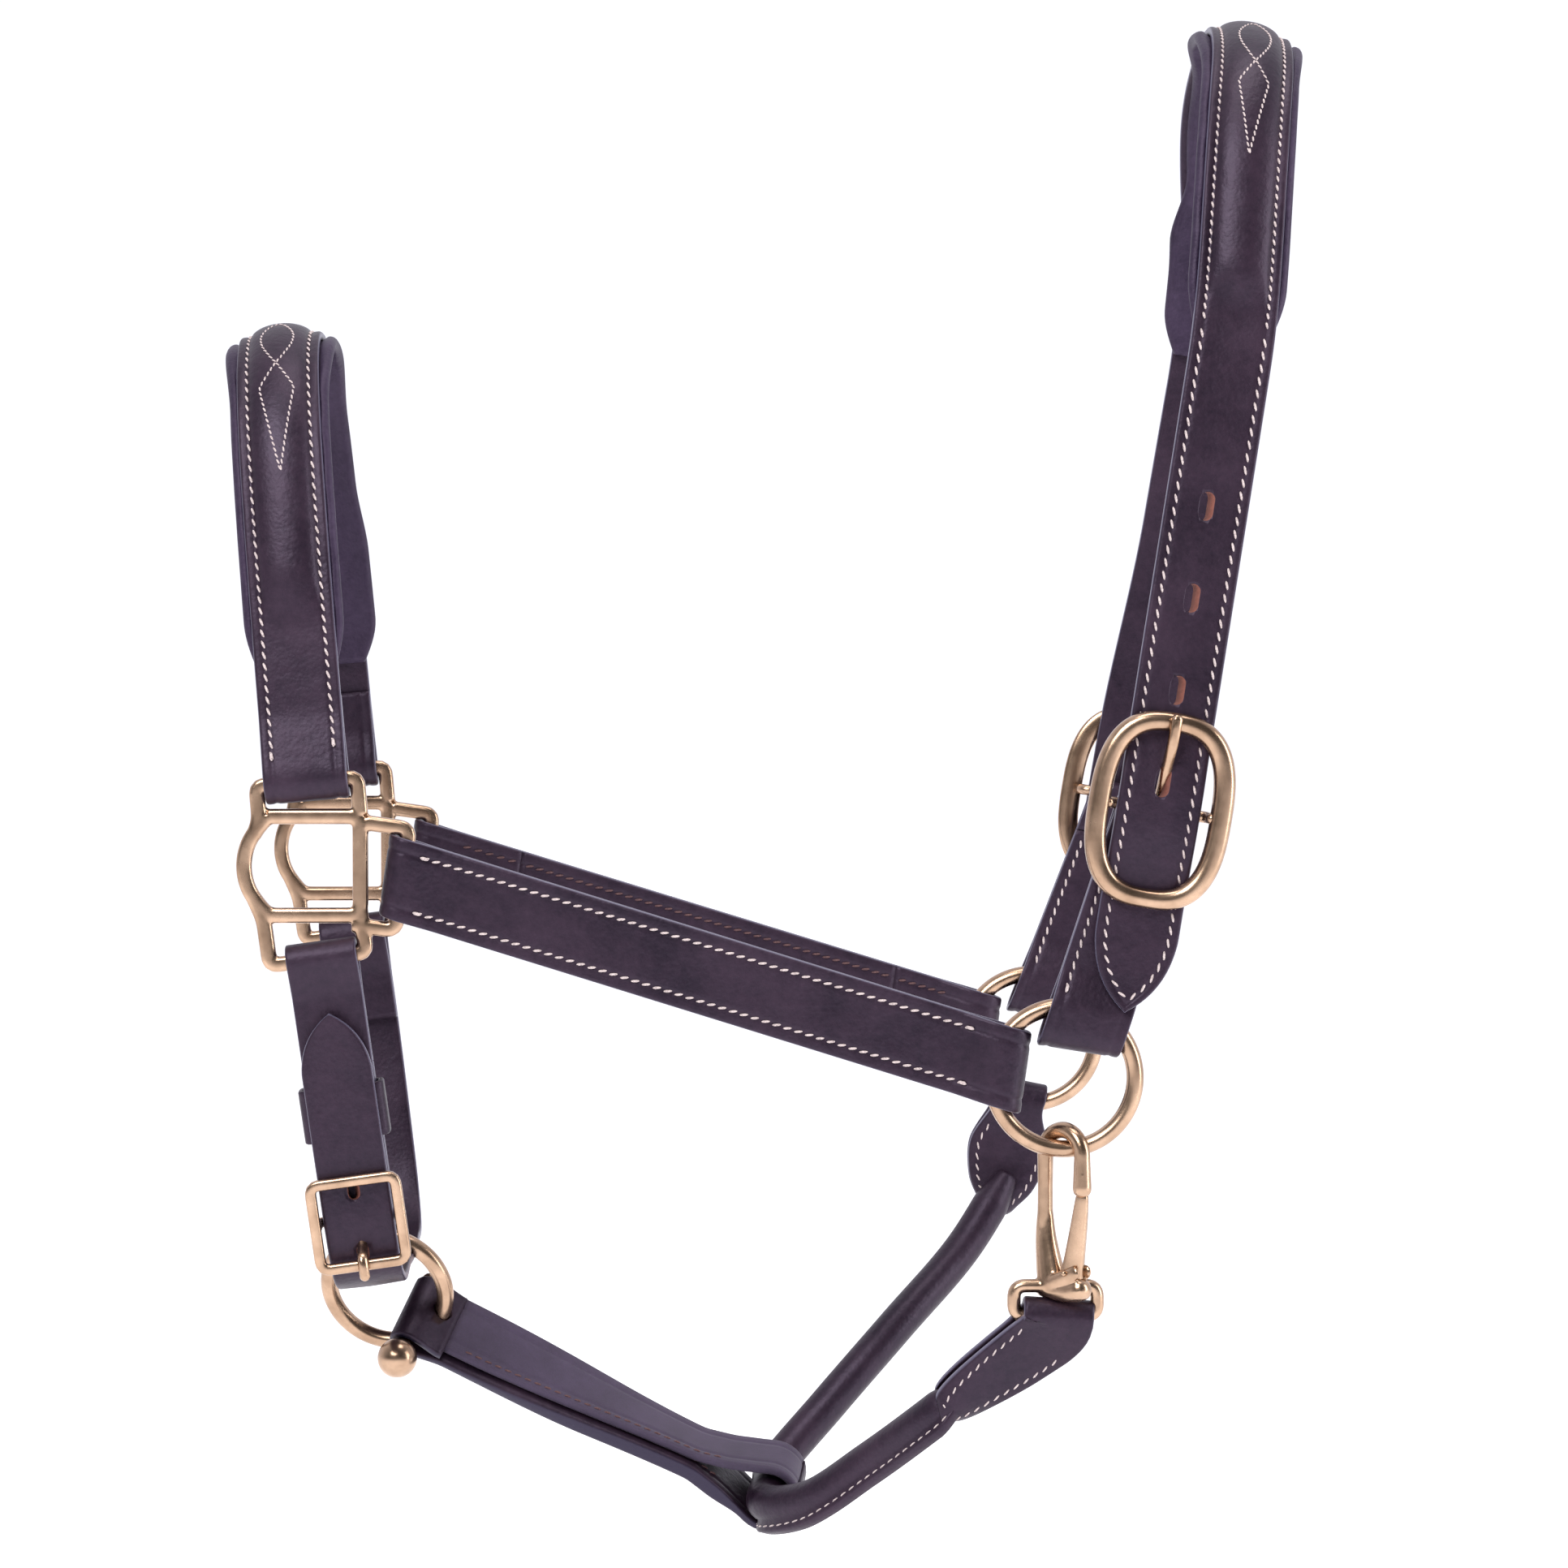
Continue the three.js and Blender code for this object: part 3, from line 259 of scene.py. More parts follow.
def cornered(points, radius, closed=False, samples=7, step=1.2):
    """A line of straight runs with rounded corners; a closed one doesn't repeat its first point."""
    points = [np.asarray(p, float) for p in points]
    count = len(points)
    found = []
    for i, corner in enumerate(points):
        if closed or 0 < i < count - 1:
            found += corner_curve(points[i - 1], corner, points[(i + 1) % count], radius, samples)
        else:
            found.append(corner)
    return resample([*found, found[0]], step)[:-1] if closed else resample(found, step)


def smoothstep(value, low, high):
    t = np.clip((value - low) / (high - low), 0, 1)
    return t * t * (3 - 2 * t)


class Band:
    """A strap's line: where a distance along it, across it and off it lands in space."""

    def __init__(self, matrix, line, step=STEP, soften=2, warp=None):
        self.matrix = matrix
        self.line = softened(resample(line, step), soften)
        self.along = distances(self.line)
        self.length = self.along[-1]
        self.warp = warp
        self.normal = left_of(tangents(self.line))

    def at(self, along, across, off):
        along, across, off = np.broadcast_arrays(*[np.asarray(v, float) for v in (along, across, off)])
        plane = [
            np.interp(along, self.along, spot) + np.interp(along, self.along, normal) * off
            for spot, normal in zip(self.line.T, self.normal.T)
        ]
        over = along - np.clip(along, 0, self.length)
        local = np.stack([plane[0], plane[1], across], -1)
        local[..., :2] += over[..., None] * self.end_direction(along)
        if self.warp:
            local = self.warp(local)
        return moved(self.matrix, local)

    def end_direction(self, along):
        start, end = unit(self.line[1] - self.line[0]), unit(self.line[-1] - self.line[-2])
        return np.where((along < self.length / 2)[..., None], start, end)

    def passes(self, run, value, axis):
        """The distance along at which the chosen points of the line come nearest to a place on one axis."""
        run = np.where(run)[0]
        return self.along[run[np.argmin(np.abs(self.line[run, axis] - value))]]

    def at_height(self, run, height):
        return self.passes(run, height, 1)

    def find(self, x, y_sign):
        """The distance along at which the run on that side of the line passes x."""
        return self.passes(np.sign(self.line[:, 1]) == y_sign, x, 0)


# ---- sections -------------------------------------------------------------------------------
def strap_section(half, low, high, dome=0.0, inset=None, edge=EDGE):
    """Across and off a strap: rounded edges, grooves for the stitching, raised middle."""
    rim = min(edge, half * 0.9, (high - low) * 0.48)
    count = 43 if inset else 13
    flat = np.linspace(-1, 1, count) * (half - rim)
    top = np.full(count, high, float)
    if dome:
        inside = np.clip(1 - (flat / RAISED_HALF) ** 2, 0, 1)
        top += dome * inside ** RAISED_POWER
    if inset:
        from_row = (half - inset - np.abs(flat)) / GROOVE_HALF
        top -= GROOVE_DEPTH * np.exp(-from_row ** 2)
    turn = np.radians(np.linspace(90, 0, 5))[:-1]
    corner = np.stack([np.cos(turn), np.sin(turn)], 1) * rim
    right_top = corner + (half - rim, high - rim)
    right_low = np.stack([corner[::-1, 0], -corner[::-1, 1]], 1) + (half - rim, low + rim)
    under = np.stack([np.linspace(1, -1, 7) * (half - rim), np.full(7, low)], 1)
    left_low = right_low[::-1] * (-1, 1)
    left_top = right_top[::-1] * (-1, 1)
    side_right = np.array([[half, high - rim], [half, low + rim]])
    return np.concatenate([
        np.stack([flat, top], 1)[1:-1], right_top, side_right, right_low, under[1:-1], left_low,
        side_right[::-1] * (-1, 1), left_top,
    ])


def ring_section(radius_x, radius_y, sides, power=2.0):
    """A round or squarish closed section."""
    angle = np.linspace(0, 2 * math.pi, sides, endpoint=False)
    c, s = np.cos(angle), np.sin(angle)
    shape = 2 / power
    return np.stack([
        np.sign(c) * np.abs(c) ** shape * radius_x,
        np.sign(s) * np.abs(s) ** shape * radius_y,
    ], 1)


# ---- meshes ---------------------------------------------------------------------------------
def to_object(name, points, faces, material, rim=None):
    mesh = bpy.data.meshes.new(name)
    mesh.from_pydata((np.asarray(points) * 0.001).tolist(), [], [list(f) for f in faces])
    if rim is not None:
        attribute = mesh.attributes.new("rim", "FLOAT", "POINT")
        attribute.data.foreach_set("value", np.asarray(rim, np.float32))
    tidy = bmesh.new()
    tidy.from_mesh(mesh)
    bmesh.ops.recalc_face_normals(tidy, faces=tidy.faces)
    tidy.to_mesh(mesh)
    tidy.free()
    mesh.shade_smooth()
    obj = bpy.data.objects.new(name, mesh)
    bpy.context.scene.collection.objects.link(obj)
    mesh.materials.append(material)
    return obj


def skin_faces(rows, columns, loop, start=0):
    """Quads over a grid of sections, with end caps unless it is a loop."""
    faces = []
    for i in range(rows if loop else rows - 1):
        a, b = start + i * columns, start + ((i + 1) % rows) * columns
        for j in range(columns):
            k = (j + 1) % columns
            faces.append((a + j, a + k, b + k, b + j))
    if not loop:
        faces.append(tuple(start + j for j in range(columns)))
        faces.append(tuple(start + (rows - 1) * columns + j for j in reversed(range(columns))))
    return faces


def skin(name, sections, material, loop=False, rim=None):
    sections = np.asarray(sections)
    rows, columns = sections.shape[:2]
    return to_object(name, sections.reshape(-1, 3), skin_faces(rows, columns, loop), material, rim)


def rim_of(section, half):
    """1 at the edge of a strap's section, falling to 0 a little way in from it."""
    return np.clip(1 - (half - np.abs(section[:, 0])) / RIM_FADE, 0, 1)


def strap(name, band, half, low, high, material, dome=0.0, inset=None, edge=EDGE, shift=0.0):
    """A strap swept along its band. half, low and dome are numbers, or functions of the distance along."""
    half_at, low_at, dome_at = (v if callable(v) else (lambda s, v=v: v) for v in (half, low, dome))
    stations = np.linspace(0, band.length, max(int(band.length / STEP), 2) + 1)
    if callable(half):
        stations = np.unique(np.concatenate([stations, *tip_stations(half, band.length)]))
    sections, rims = [], []
    for s in stations:
        width = max(half_at(s), LEAST_HALF)
        section = strap_section(width, low_at(s), high, dome_at(s), inset, edge)
        sections.append(band.at(s, section[:, 0] + shift, section[:, 1]))
        rims.append(rim_of(section, width))
    return skin(name, sections, material, rim=np.concatenate(rims))


def tip_stations(half, length):
    """More sections where the strap comes to a point."""
    ends = np.array([0.02, 0.15, 0.4, 0.8, 1.3, 2, 3, 4, 5, 6.2, 7.5, 9, 10.5, 12, 14, 16, 18, 20, 22])
    just_inside, pointed = 0.05, 2
    found = [ends] if half(just_inside) < pointed else []
    return found + ([length - ends] if half(length - just_inside) < pointed else [])


OFF_AXIS = (0.31, 0.17, 0.93)           # a direction that no bar runs along
ROUNDED_END = (80, 62, 42, 20)          # where the sections of a bar's rounded end sit, in degrees


def rod(points, radius, sides=16, power=2.0, squash=1.0):
    """Sections of a bar along a line, its ends rounded. radius may be a number or one per point."""
    points = np.asarray(points, float)
    radius = np.broadcast_to(np.asarray(radius, float), len(points))
    tangent = tangents(points)
    side = unit(np.cross(tangent[0], OFF_AXIS))
    around = np.radians(ROUNDED_END)
    points = np.concatenate([
        [points[0] - tangent[0] * radius[0] * math.sin(a) for a in around],
        points,
        [points[-1] + tangent[-1] * radius[-1] * math.sin(a) for a in around[::-1]],
    ])
    radius = np.concatenate([radius[0] * np.cos(around), radius, radius[-1] * np.cos(around[::-1])])
    tangent = np.concatenate([[tangent[0]] * len(around), tangent, [tangent[-1]] * len(around)])
    sections = []
    for point, along, size in zip(points, tangent, radius):
        side = unit(side - along * np.dot(side, along))
        shape = ring_section(size, size * squash, sides, power)
        sections.append(point + shape[:, :1] * side + shape[:, 1:] * np.cross(along, side))
    return np.array(sections)


def several(name, solids, material):
    """One object from several swept solids, each given as its sections, or sections and a loop flag."""
    points, faces, start = [], [], 0
    for solid in solids:
        sections, loop = solid if isinstance(solid, tuple) else (solid, False)
        rows, columns = sections.shape[:2]
        points.append(sections.reshape(-1, 3))
        faces += skin_faces(rows, columns, loop, start)
        start += rows * columns
    return to_object(name, np.concatenate(points), faces, material)


def applied(obj, modifiers):
    """Bakes the modifiers into the object's mesh."""
    for kind, settings in modifiers:
        modifier = obj.modifiers.new(kind.lower(), kind)
        for key, value in settings.items():
            setattr(modifier, key, value)
    bpy.context.view_layer.update()
    baked = bpy.data.meshes.new_from_object(obj.evaluated_get(bpy.context.evaluated_depsgraph_get()))
    obj.modifiers.clear()
    old = obj.data
    obj.data = baked
    bpy.data.meshes.remove(old)
    obj.data.shade_smooth()
    return obj


def cast(obj, voxel, rounds, strength=0.5):
    """Melts the bars of a fitting into one rounded casting."""
    return applied(obj, [
        ("REMESH", {"mode": "VOXEL", "voxel_size": voxel * 0.001, "use_smooth_shade": True}),
        ("SMOOTH", {"factor": strength, "iterations": rounds}),
    ])


def carved(obj, cutters):
    """Cuts the cutters out of the object and removes them."""
    for cutter in cutters:
        applied(obj, [("BOOLEAN", {
            "operation": "DIFFERENCE", "solver": "EXACT", "object": cutter, "material_mode": "TRANSFER",
        })])
        bpy.data.objects.remove(cutter)
    return obj


def slot_cutter(matrix, x0, x1, y0, y1, half, material, corner=1.2):
    """A rounded block: x along the strap, y off it, z across it."""
    angle = [(x1, half, 0), (x0, half, 90), (x0, -half, 180), (x1, -half, 270)]
    outline = []
    for x, z, start in angle:
        centre = (x - corner * math.copysign(1, x - (x0 + x1) / 2), z - corner * math.copysign(1, z))
        outline += list(arc(*centre, corner, start, start + 90, 5))
    outline = np.array(outline)
    levels = [np.stack([outline[:, 0], np.full(len(outline), y), outline[:, 1]], 1) for y in (y0, y1)]
    return skin("cutter", [moved(matrix, level) for level in levels], material)


def hole_cutter(band, along, low, high, material, length=HOLE_LENGTH, width=HOLE_WIDTH):
    """An oblong hole whose wall on one side has been dragged open by the tongue."""
    straight = (length - width) / 2
    right = arc(straight, 0, width / 2, -90, 90, 10)
    left = arc(-straight, 0, width / 2, 90, 270, 10)
    outline = np.concatenate([right, left])
    levels = [
        band.at(along + outline[:, 0], outline[:, 1] * narrow + shift, off)
        for off, narrow, shift in ((low, 0.45, -0.26 * width), (high, 1.1, 0.0))
    ]
    return skin("cutter", levels, material)


# ---- stitching ------------------------------------------------------------------------------
def stitch_points(start, end, normal, radius):
    """One stitch: a short grain of thread whose ends dip into the leather."""
    along = end - start
    half = np.linalg.norm(along) / 2
    forward = along / (2 * half)
    up = unit(normal - forward * np.dot(normal, forward))
    across = np.cross(forward, up)
    shape = ring_section(1.0, 0.8, 6)
    sections = []
    for t in (-1.0, -0.82, -0.4, 0.4, 0.82, 1.0):
        thick = radius * (1 - 0.75 * abs(t) ** 4)
        centre = (start + end) / 2 + forward * half * t + up * radius * (0.42 - 0.75 * t * t)
        sections.append(centre + across * shape[:, :1] * thick + up * shape[:, 1:] * thick)
    return np.array(sections)


def stitched(
    points, normals, pitch=STITCH_PITCH, length=STITCH_LENGTH, slant=STITCH_SLANT, radius=THREAD_RADIUS,
):
    """Stitches at even spacing along a line on a surface."""
    along = distances(points)
    count = max(int(along[-1] / pitch), 1)
    pitch = along[-1] / count
    found = []
    for i in range(count):
        a, b = (i + 0.5) * pitch - length / 2, (i + 0.5) * pitch + length / 2
        ends = [np.array([np.interp(t, along, points[:, k]) for k in range(3)]) for t in (a, b)]
        normal = unit([np.interp((a + b) / 2, along, normals[:, k]) for k in range(3)])
        across = np.cross(normal, unit(ends[1] - ends[0]))
        lean = across * math.sin(slant) * length / 2
        found.append(stitch_points(ends[0] - lean, ends[1] + lean, normal, radius))
    return found


def row(band, along, across, off, **style):
    """A row of stitches on a strap, through points given along and across it."""
    along, across = np.asarray(along, float), np.asarray(across, float)
    off = np.broadcast_to(np.asarray(off, float), along.shape)
    on = band.at(along, across, off)
    over = band.at(along, across, off + 1)
    return stitched(on, over - on, **style)


LOCK_LENGTH = 2.7
LOCK_LIFT = 0.45
LOCK_STITCH = {"radius": 0.52, "length": LOCK_LENGTH, "pitch": LOCK_LENGTH, "slant": 0}


def straight_row(band, start, end, across, off, back=True, **style):
    """A straight row along a strap; back adds the thick double stitches that lock its ends."""
    along = np.linspace(start, end, max(int(abs(end - start) / 2), 2))
    found = row(band, along, np.full(len(along), across), off, **style)
    if back:
        for s, inward in ((start, 1), (end, -1)):
            last = s + LOCK_LENGTH * inward * np.sign(end - start)
            found += row(band, [s, last], [across, across], off + LOCK_LIFT, **LOCK_STITCH)
    return found


def thread_object(name, stitches, node, material=None):
    piece = several(name, stitches, material or thread)
    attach(piece, body_of(node))
    return piece


# ---- joining the frame ----------------------------------------------------------------------
def body_of(node):
    return next(body for body, nodes in bodies.items() if node in nodes)


def stands_for(piece, slot, *nodes):
    """The piece rides with the CAD nodes it replaces, which are hidden; its slot is not used."""
    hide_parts(*nodes)
    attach(piece, body_of(nodes[0]))
    return piece


# ---- materials ------------------------------------------------------------------------------
class NodeTree:
    """A material's or the world's nodes, and makers of nodes that are linked as they are made."""

    def __init__(self, owner, shader):
        owner.use_nodes = True
        self.owner = owner
        self.nodes = owner.node_tree.nodes
        self.inputs = self.nodes[shader].inputs

    def feed(self, socket, value):
        """Links the value to the socket when it comes from a node, and otherwise sets the socket to it."""
        if isinstance(value, bpy.types.NodeSocket):
            self.owner.node_tree.links.new(value, socket)
        else:
            socket.default_value = value

    def shade(self, values):
        for socket, value in values.items():
            self.feed(self.inputs[socket], value)

    def node(self, kind, fed=(), **values):
        """A node. fed pairs its sockets with values; the rest are settings or sockets by name."""
        node = self.nodes.new("ShaderNode" + kind)
        for key, value in values.items():
            if key in node.inputs:
                node.inputs[key].default_value = value
            else:
                setattr(node, key, value)
        for socket, value in fed:
            self.feed(node.inputs[socket], value)
        return node

    def textures(self, *wanted):
        """Textures laid on the object's own coordinates, each given as its kind and its settings."""
        where = self.node("TexCoord").outputs["Object"]
        return [self.node(kind, [("Vector", where)], **values).outputs for kind, values in wanted]

    def ramp(self, factor, low, high, start, end):
        """A colour ramp from low to high."""
        ramp = self.node("ValToRGB", [("Fac", factor)])
        for element, position, colour in zip(ramp.color_ramp.elements, (start, end), (low, high)):
            element.position = position
            element.color = (*colour, 1)
        return ramp.outputs["Color"]

    def spread(self, value, low, high):
        """A 0 to 1 value spread over low to high."""
        return self.node("MapRange", [("To Min", low), ("To Max", high), ("Value", value)]).outputs["Result"]

    def math(self, operation, *values):
        return self.node("Math", enumerate(values), operation=operation).outputs[0]

    def bump(self, height, strength, distance, under=None):
        """A bump, on top of another one if it is given."""
        fed = [("Height", height)] + ([("Normal", under)] if under else [])
        return self.node("Bump", fed, Strength=strength, Distance=distance).outputs["Normal"]


def new_material(name):
    return NodeTree(bpy.data.materials.new(name), "Principled BSDF")


# Painted highlight: a pale bluish line painted along strap edges, where the bright backdrop would reflect.
PAINTED_EDGE_HIGHLIGHT = (0.10, 0.092, 0.14)
# Painted shade: edges darkened as if lying in shade, used on the jaw strap.
PAINTED_EDGE_SHADE = (0.014, 0.013, 0.028)
COLOUR_A, COLOUR_B, COLOUR_MIXED = 6, 7, 2     # a colour Mix node's sockets


def leather_material(name, deep, light, rough, grain=0.2, painted_edge_light=PAINTED_EDGE_HIGHLIGHT):
    """Waxed bridle leather: cloudy dye, a fine pebbled grain, and polished edges whose colour is painted
    light, a pale painted highlight by default and a dark painted shade for the jaw strap.
    """
    surface = new_material(name)
    clouds, mottle, pebbles, pores = surface.textures(
        ("TexNoise", {"Scale": 38.0, "Detail": 4.0, "Roughness": 0.6}),
        ("TexNoise", {"Scale": 420.0, "Detail": 5.0, "Roughness": 0.65}),
        ("TexVoronoi", {"Scale": 950.0, "feature": "SMOOTH_F1"}),
        ("TexNoise", {"Scale": 2600.0, "Detail": 3.0}),
    )
    cloud = clouds["Fac"]
    blend = surface.math("MULTIPLY_ADD", cloud, 0.62, surface.math("MULTIPLY", mottle["Fac"], 0.42))
    dye = surface.ramp(blend, deep, light, 0.36, 0.68)
    rim = surface.node("Attribute", attribute_name="rim").outputs["Fac"]
    # The rim mask: polish lowers the edges' roughness, and their colour is painted light, a painted highlight
    # of the bright backdrop by default and painted shade on the jaw strap.
    polish_and_painted_edge = surface.node("MapRange", [("From Min", 0.72), ("Value", rim)]).outputs["Result"]
    colour = surface.node(
        "Mix", [("Factor", polish_and_painted_edge), (COLOUR_A, dye), (COLOUR_B, (*painted_edge_light, 1))], data_type="RGBA")
    gloss = surface.node(
        "Mix", [("Factor", polish_and_painted_edge), ("A", surface.spread(cloud, rough - 0.1, rough + 0.14)), ("B", 0.3)])
    height = surface.math("MULTIPLY_ADD", pores["Fac"], 0.45, pebbles["Distance"])
    waves = surface.bump(cloud, 0.3, 0.003)
    surface.shade({
        "Base Color": colour.outputs[COLOUR_MIXED],
        "Roughness": gloss.outputs["Result"],
        "Normal": surface.bump(height, grain, 0.00035, waves),
        "Specular IOR Level": 0.4,
        "Specular Tint": (0.90, 0.74, 1.0, 1),
    })
    return surface.owner


def lining_material(name, deep, light):
    """The flesh side of the lining leather: matt, with short fibres."""
    surface = new_material(name)
    clouds, fibres = surface.textures(
        ("TexNoise", {"Scale": 55.0, "Detail": 5.0, "Roughness": 0.7}),
        ("TexNoise", {"Scale": 1500.0, "Detail": 6.0, "Roughness": 0.75}),
    )
    fibre = fibres["Fac"]
    both = surface.math("MULTIPLY_ADD", fibre, 0.5, surface.math("MULTIPLY", clouds["Fac"], 0.5))
    surface.shade({
        "Base Color": surface.ramp(both, deep, light, 0.35, 0.65),
        "Roughness": surface.spread(fibre, 0.6, 0.9),
        "Normal": surface.bump(fibre, 0.35, 0.0003),
        "Sheen Weight": 0.1,
        "Sheen Roughness": 0.5,
    })
    return surface.owner


def brass_material():
    """Satin cast brass: even colour, a soft brushed surface and faint handling marks."""
    surface = new_material("satin_brass")
    clouds, marks = surface.textures(
        ("TexNoise", {"Scale": 90.0, "Detail": 4.0, "Roughness": 0.6}),
        ("TexNoise", {"Scale": 1300.0, "Detail": 4.0, "Roughness": 0.7}),
    )
    surface.shade({
        "Base Color": surface.ramp(clouds["Fac"], (0.36, 0.236, 0.158), (0.54, 0.368, 0.255), 0.35, 0.65),
        "Roughness": surface.spread(clouds["Fac"], 0.2, 0.32),
        "Normal": surface.bump(marks["Fac"], 0.008, 0.0002),
        "Metallic": 1.0,
    })
    return surface.owner


def thread_material(name, deep, light):
    """Waxed thread with a faint twist."""
    surface = new_material(name)
    ply, = surface.textures(("TexNoise", {"Scale": 1900.0, "Detail": 3.0}))
    surface.shade({
        "Base Color": surface.ramp(ply["Fac"], deep, light, 0.3, 0.6),
        "Normal": surface.bump(ply["Fac"], 0.4, 0.0002),
        "Roughness": 0.7,
    })
    return surface.owner


def plain_material(name, colour, rough):
    """A slightly uneven matt surface."""
    surface = new_material(name)
    cloud, = surface.textures(("TexNoise", {"Scale": 700.0, "Detail": 4.0}))
    darker = tuple(c * 0.75 for c in colour)
    surface.shade({"Base Color": surface.ramp(cloud["Fac"], darker, colour, 0.3, 0.7), "Roughness": rough})
    return surface.owner


HAVANA = ((0.005, 0.002, 0.006), (0.024, 0.012, 0.022), 0.42)

havana = leather_material("havana_leather", *HAVANA)
# The jaw strap's leather: its edges are darkened with painted shade.
painted_shade_edged = leather_material("painted_shade_edged_leather", *HAVANA, painted_edge_light=PAINTED_EDGE_SHADE)
lining_leather = leather_material(
    "lining_leather", (0.011, 0.006, 0.018), (0.036, 0.023, 0.048), 0.5, grain=0.3)
flesh = lining_material("flesh_side", (0.024, 0.014, 0.034), (0.052, 0.033, 0.072))
brass = brass_material()
thread = thread_material("cream_thread", (0.34, 0.27, 0.27), (0.63, 0.53, 0.52))
dark_thread = thread_material("dark_thread", (0.050, 0.018, 0.022), (0.11, 0.050, 0.052))
raw_edge = plain_material("raw_hole_edge", (0.22, 0.075, 0.055), 0.8)


# ---- crownpiece -----------------------------------------------------------------------------
CROWN_HALF = [
    (0, 0), (19, -3), (37, -14), (50, -34), (57, -62), (61.5, -95), (64.5, -130), (67.5, -180), (69.6, -213),
    (69.9, -223), (71.9, -238), (72.1, -245.5), (71.9, -253), (69.9, -268), (69.8, -278), (70.5, CROWN_TIP),
]
CROWN_LOW = LINING + GAP
CROWN_TOP = CROWN_LOW + BILLET
CROWN_FANCY = {
    "first": 17.5, "crossing": 42.0, "widest": 50.0, "tip": 73.6, "oval_half": 4.9, "kite_half": 4.75,
}
PAD_DRAW_IN = 1.9          # the lining curls in this far on each side, away from its middle
CROWN_PAD_REACH = 126.4     # half length of the padded part, measured along the crown
CROWN_POINT = 24.0          # length of the billets' pointed ends
CROWN_LINING_LEAN = 4.6     # how far the lining shows past one edge of the strap on the far side
PAD_END = 3                 # the raised middle ends this far short of the padding
POINTED_PART = 30           # where an edge may curve, measured from each end
LINING_SEAT = 12.6          # half width of the lining's flat top, under the strap
BILLET_STITCHES = {"pitch": 4.0, "length": 2.7}
PADDED_STITCHES = {"pitch": 2.9, "length": 1.95}
FANCY_STITCHES = {"pitch": 2.0, "length": 1.7, "radius": FINE_THREAD, "slant": 0.3}


def ogive(length, half, point):
    """Half width of a strap that comes to a rounded point at each end."""
    t = np.linspace(0, 1, 60)
    rise = (1 - t) ** 2 * point + 2 * t * (1 - t) * point / 3
    wide = ((1 - t) ** 2 + 2 * t * (1 - t) / 1.1) * half
    order = np.argsort(rise)
    rise, wide = rise[order], wide[order]

    def at(s):
        return float(np.interp(min(s, length - s), rise, wide))

    return at


def inset_line(half_at, length, inset):
    """Where a row of stitching runs, an even distance in from a shaped edge."""
    first, last = POINTED_PART, length - POINTED_PART
    s = np.unique(np.concatenate([
        np.linspace(0, first, 240), np.linspace(first, last, 300), np.linspace(last, length, 240),
    ]))
    half = np.array([half_at(v) for v in s])
    slope = np.gradient(half, s)
    size = np.sqrt(1 + slope ** 2)
    along, across = s + inset * slope / size, half - inset / size
    keep = (across > 0.2) & (along > 0) & (along < length)
    return along[keep], across[keep]


def swayed(local):
    """The crownpiece sits forward over the poll, and its off side hangs back."""
    drop = -local[..., 1]
    forward = POLL_SWAY * (1 - smoothstep(drop, 15, 105))
    returned = (FAR_SWAY["most"] - FAR_SWAY["kept"]) * smoothstep(drop, 150, 228)
    back = FAR_SWAY["most"] * smoothstep(drop, 0, 70) - returned
    shifted = local.copy()
    shifted[..., 2] += forward + back * smoothstep(local[..., 0], 8, 55)
    return shifted


def raised(from_middle, reach, ease):
    """Height of a strap's raised middle."""
    return RAISED_HEIGHT * float(smoothstep(reach - PAD_END - abs(from_middle), 0, ease))


def crown_holes(band):
    count = len(band.line)
    lower = np.arange(count) < count // 2
    low, high = CROWN_LOW - HOLE_OVERLAP, CROWN_TOP + HOLE_OVERLAP
    return [
        hole_cutter(band, band.at_height(side, height), low, high, raw_edge)
        for height in CROWN_HOLES for side in (lower, ~lower)
    ]


def crown_rows(band, middle, half_at):
    """A row inside each edge, finer over the padding than on the billets."""
    along, across = inset_line(half_at, band.length, CROWN_INSET)
    before, after = along < middle - CROWN_PAD_REACH, along > middle + CROWN_PAD_REACH
    padded = np.abs(along - middle) < CROWN_PAD_REACH
    surface = CROWN_TOP - THREAD_SINK
    stitches = []
    for sign in (1, -1):
        for run, style in ((before, BILLET_STITCHES), (after, BILLET_STITCHES), (padded, PADDED_STITCHES)):
            stitches += row(band, along[run], sign * across[run], surface, **style)
    return stitches


def make_crown():
    line = smooth(mirrored(CROWN_HALF), 400)
    band = Band(leaning_plane((0, 0, 0), CROWN_LEAN), line, warp=swayed)
    middle = band.length / 2
    half_at = ogive(band.length, CROWN_WIDTH / 2, CROWN_POINT)

    def dome(s):
        return raised(s - middle, CROWN_PAD_REACH, 16)

    def lean(s):
        far_side = smoothstep(s - middle, 4, 32) * (1 - smoothstep(s - middle, 66, 90))
        return CROWN_LINING_LEAN * float(far_side)

    body = strap(
        "crown_strap_fine", band, half_at, CROWN_LOW, CROWN_TOP, havana, dome=dome, inset=CROWN_INSET)
    stands_for(carved(body, crown_holes(band)), "havana_leather", "crown_strap")
    stitches = crown_rows(band, middle, half_at)
    stitches += fancy_stitching(band, middle, CROWN_TOP, dome, CROWN_FANCY)
    thread_object("crown_stitching", stitches, "crown_strap")
    lining = padded_lining("crown_lining_fine", band, CROWN_LINING_WIDTH / 2, CROWN_PAD_REACH, lean)
    stands_for(lining, "lining_leather", "crown_lining", "crown_padding")


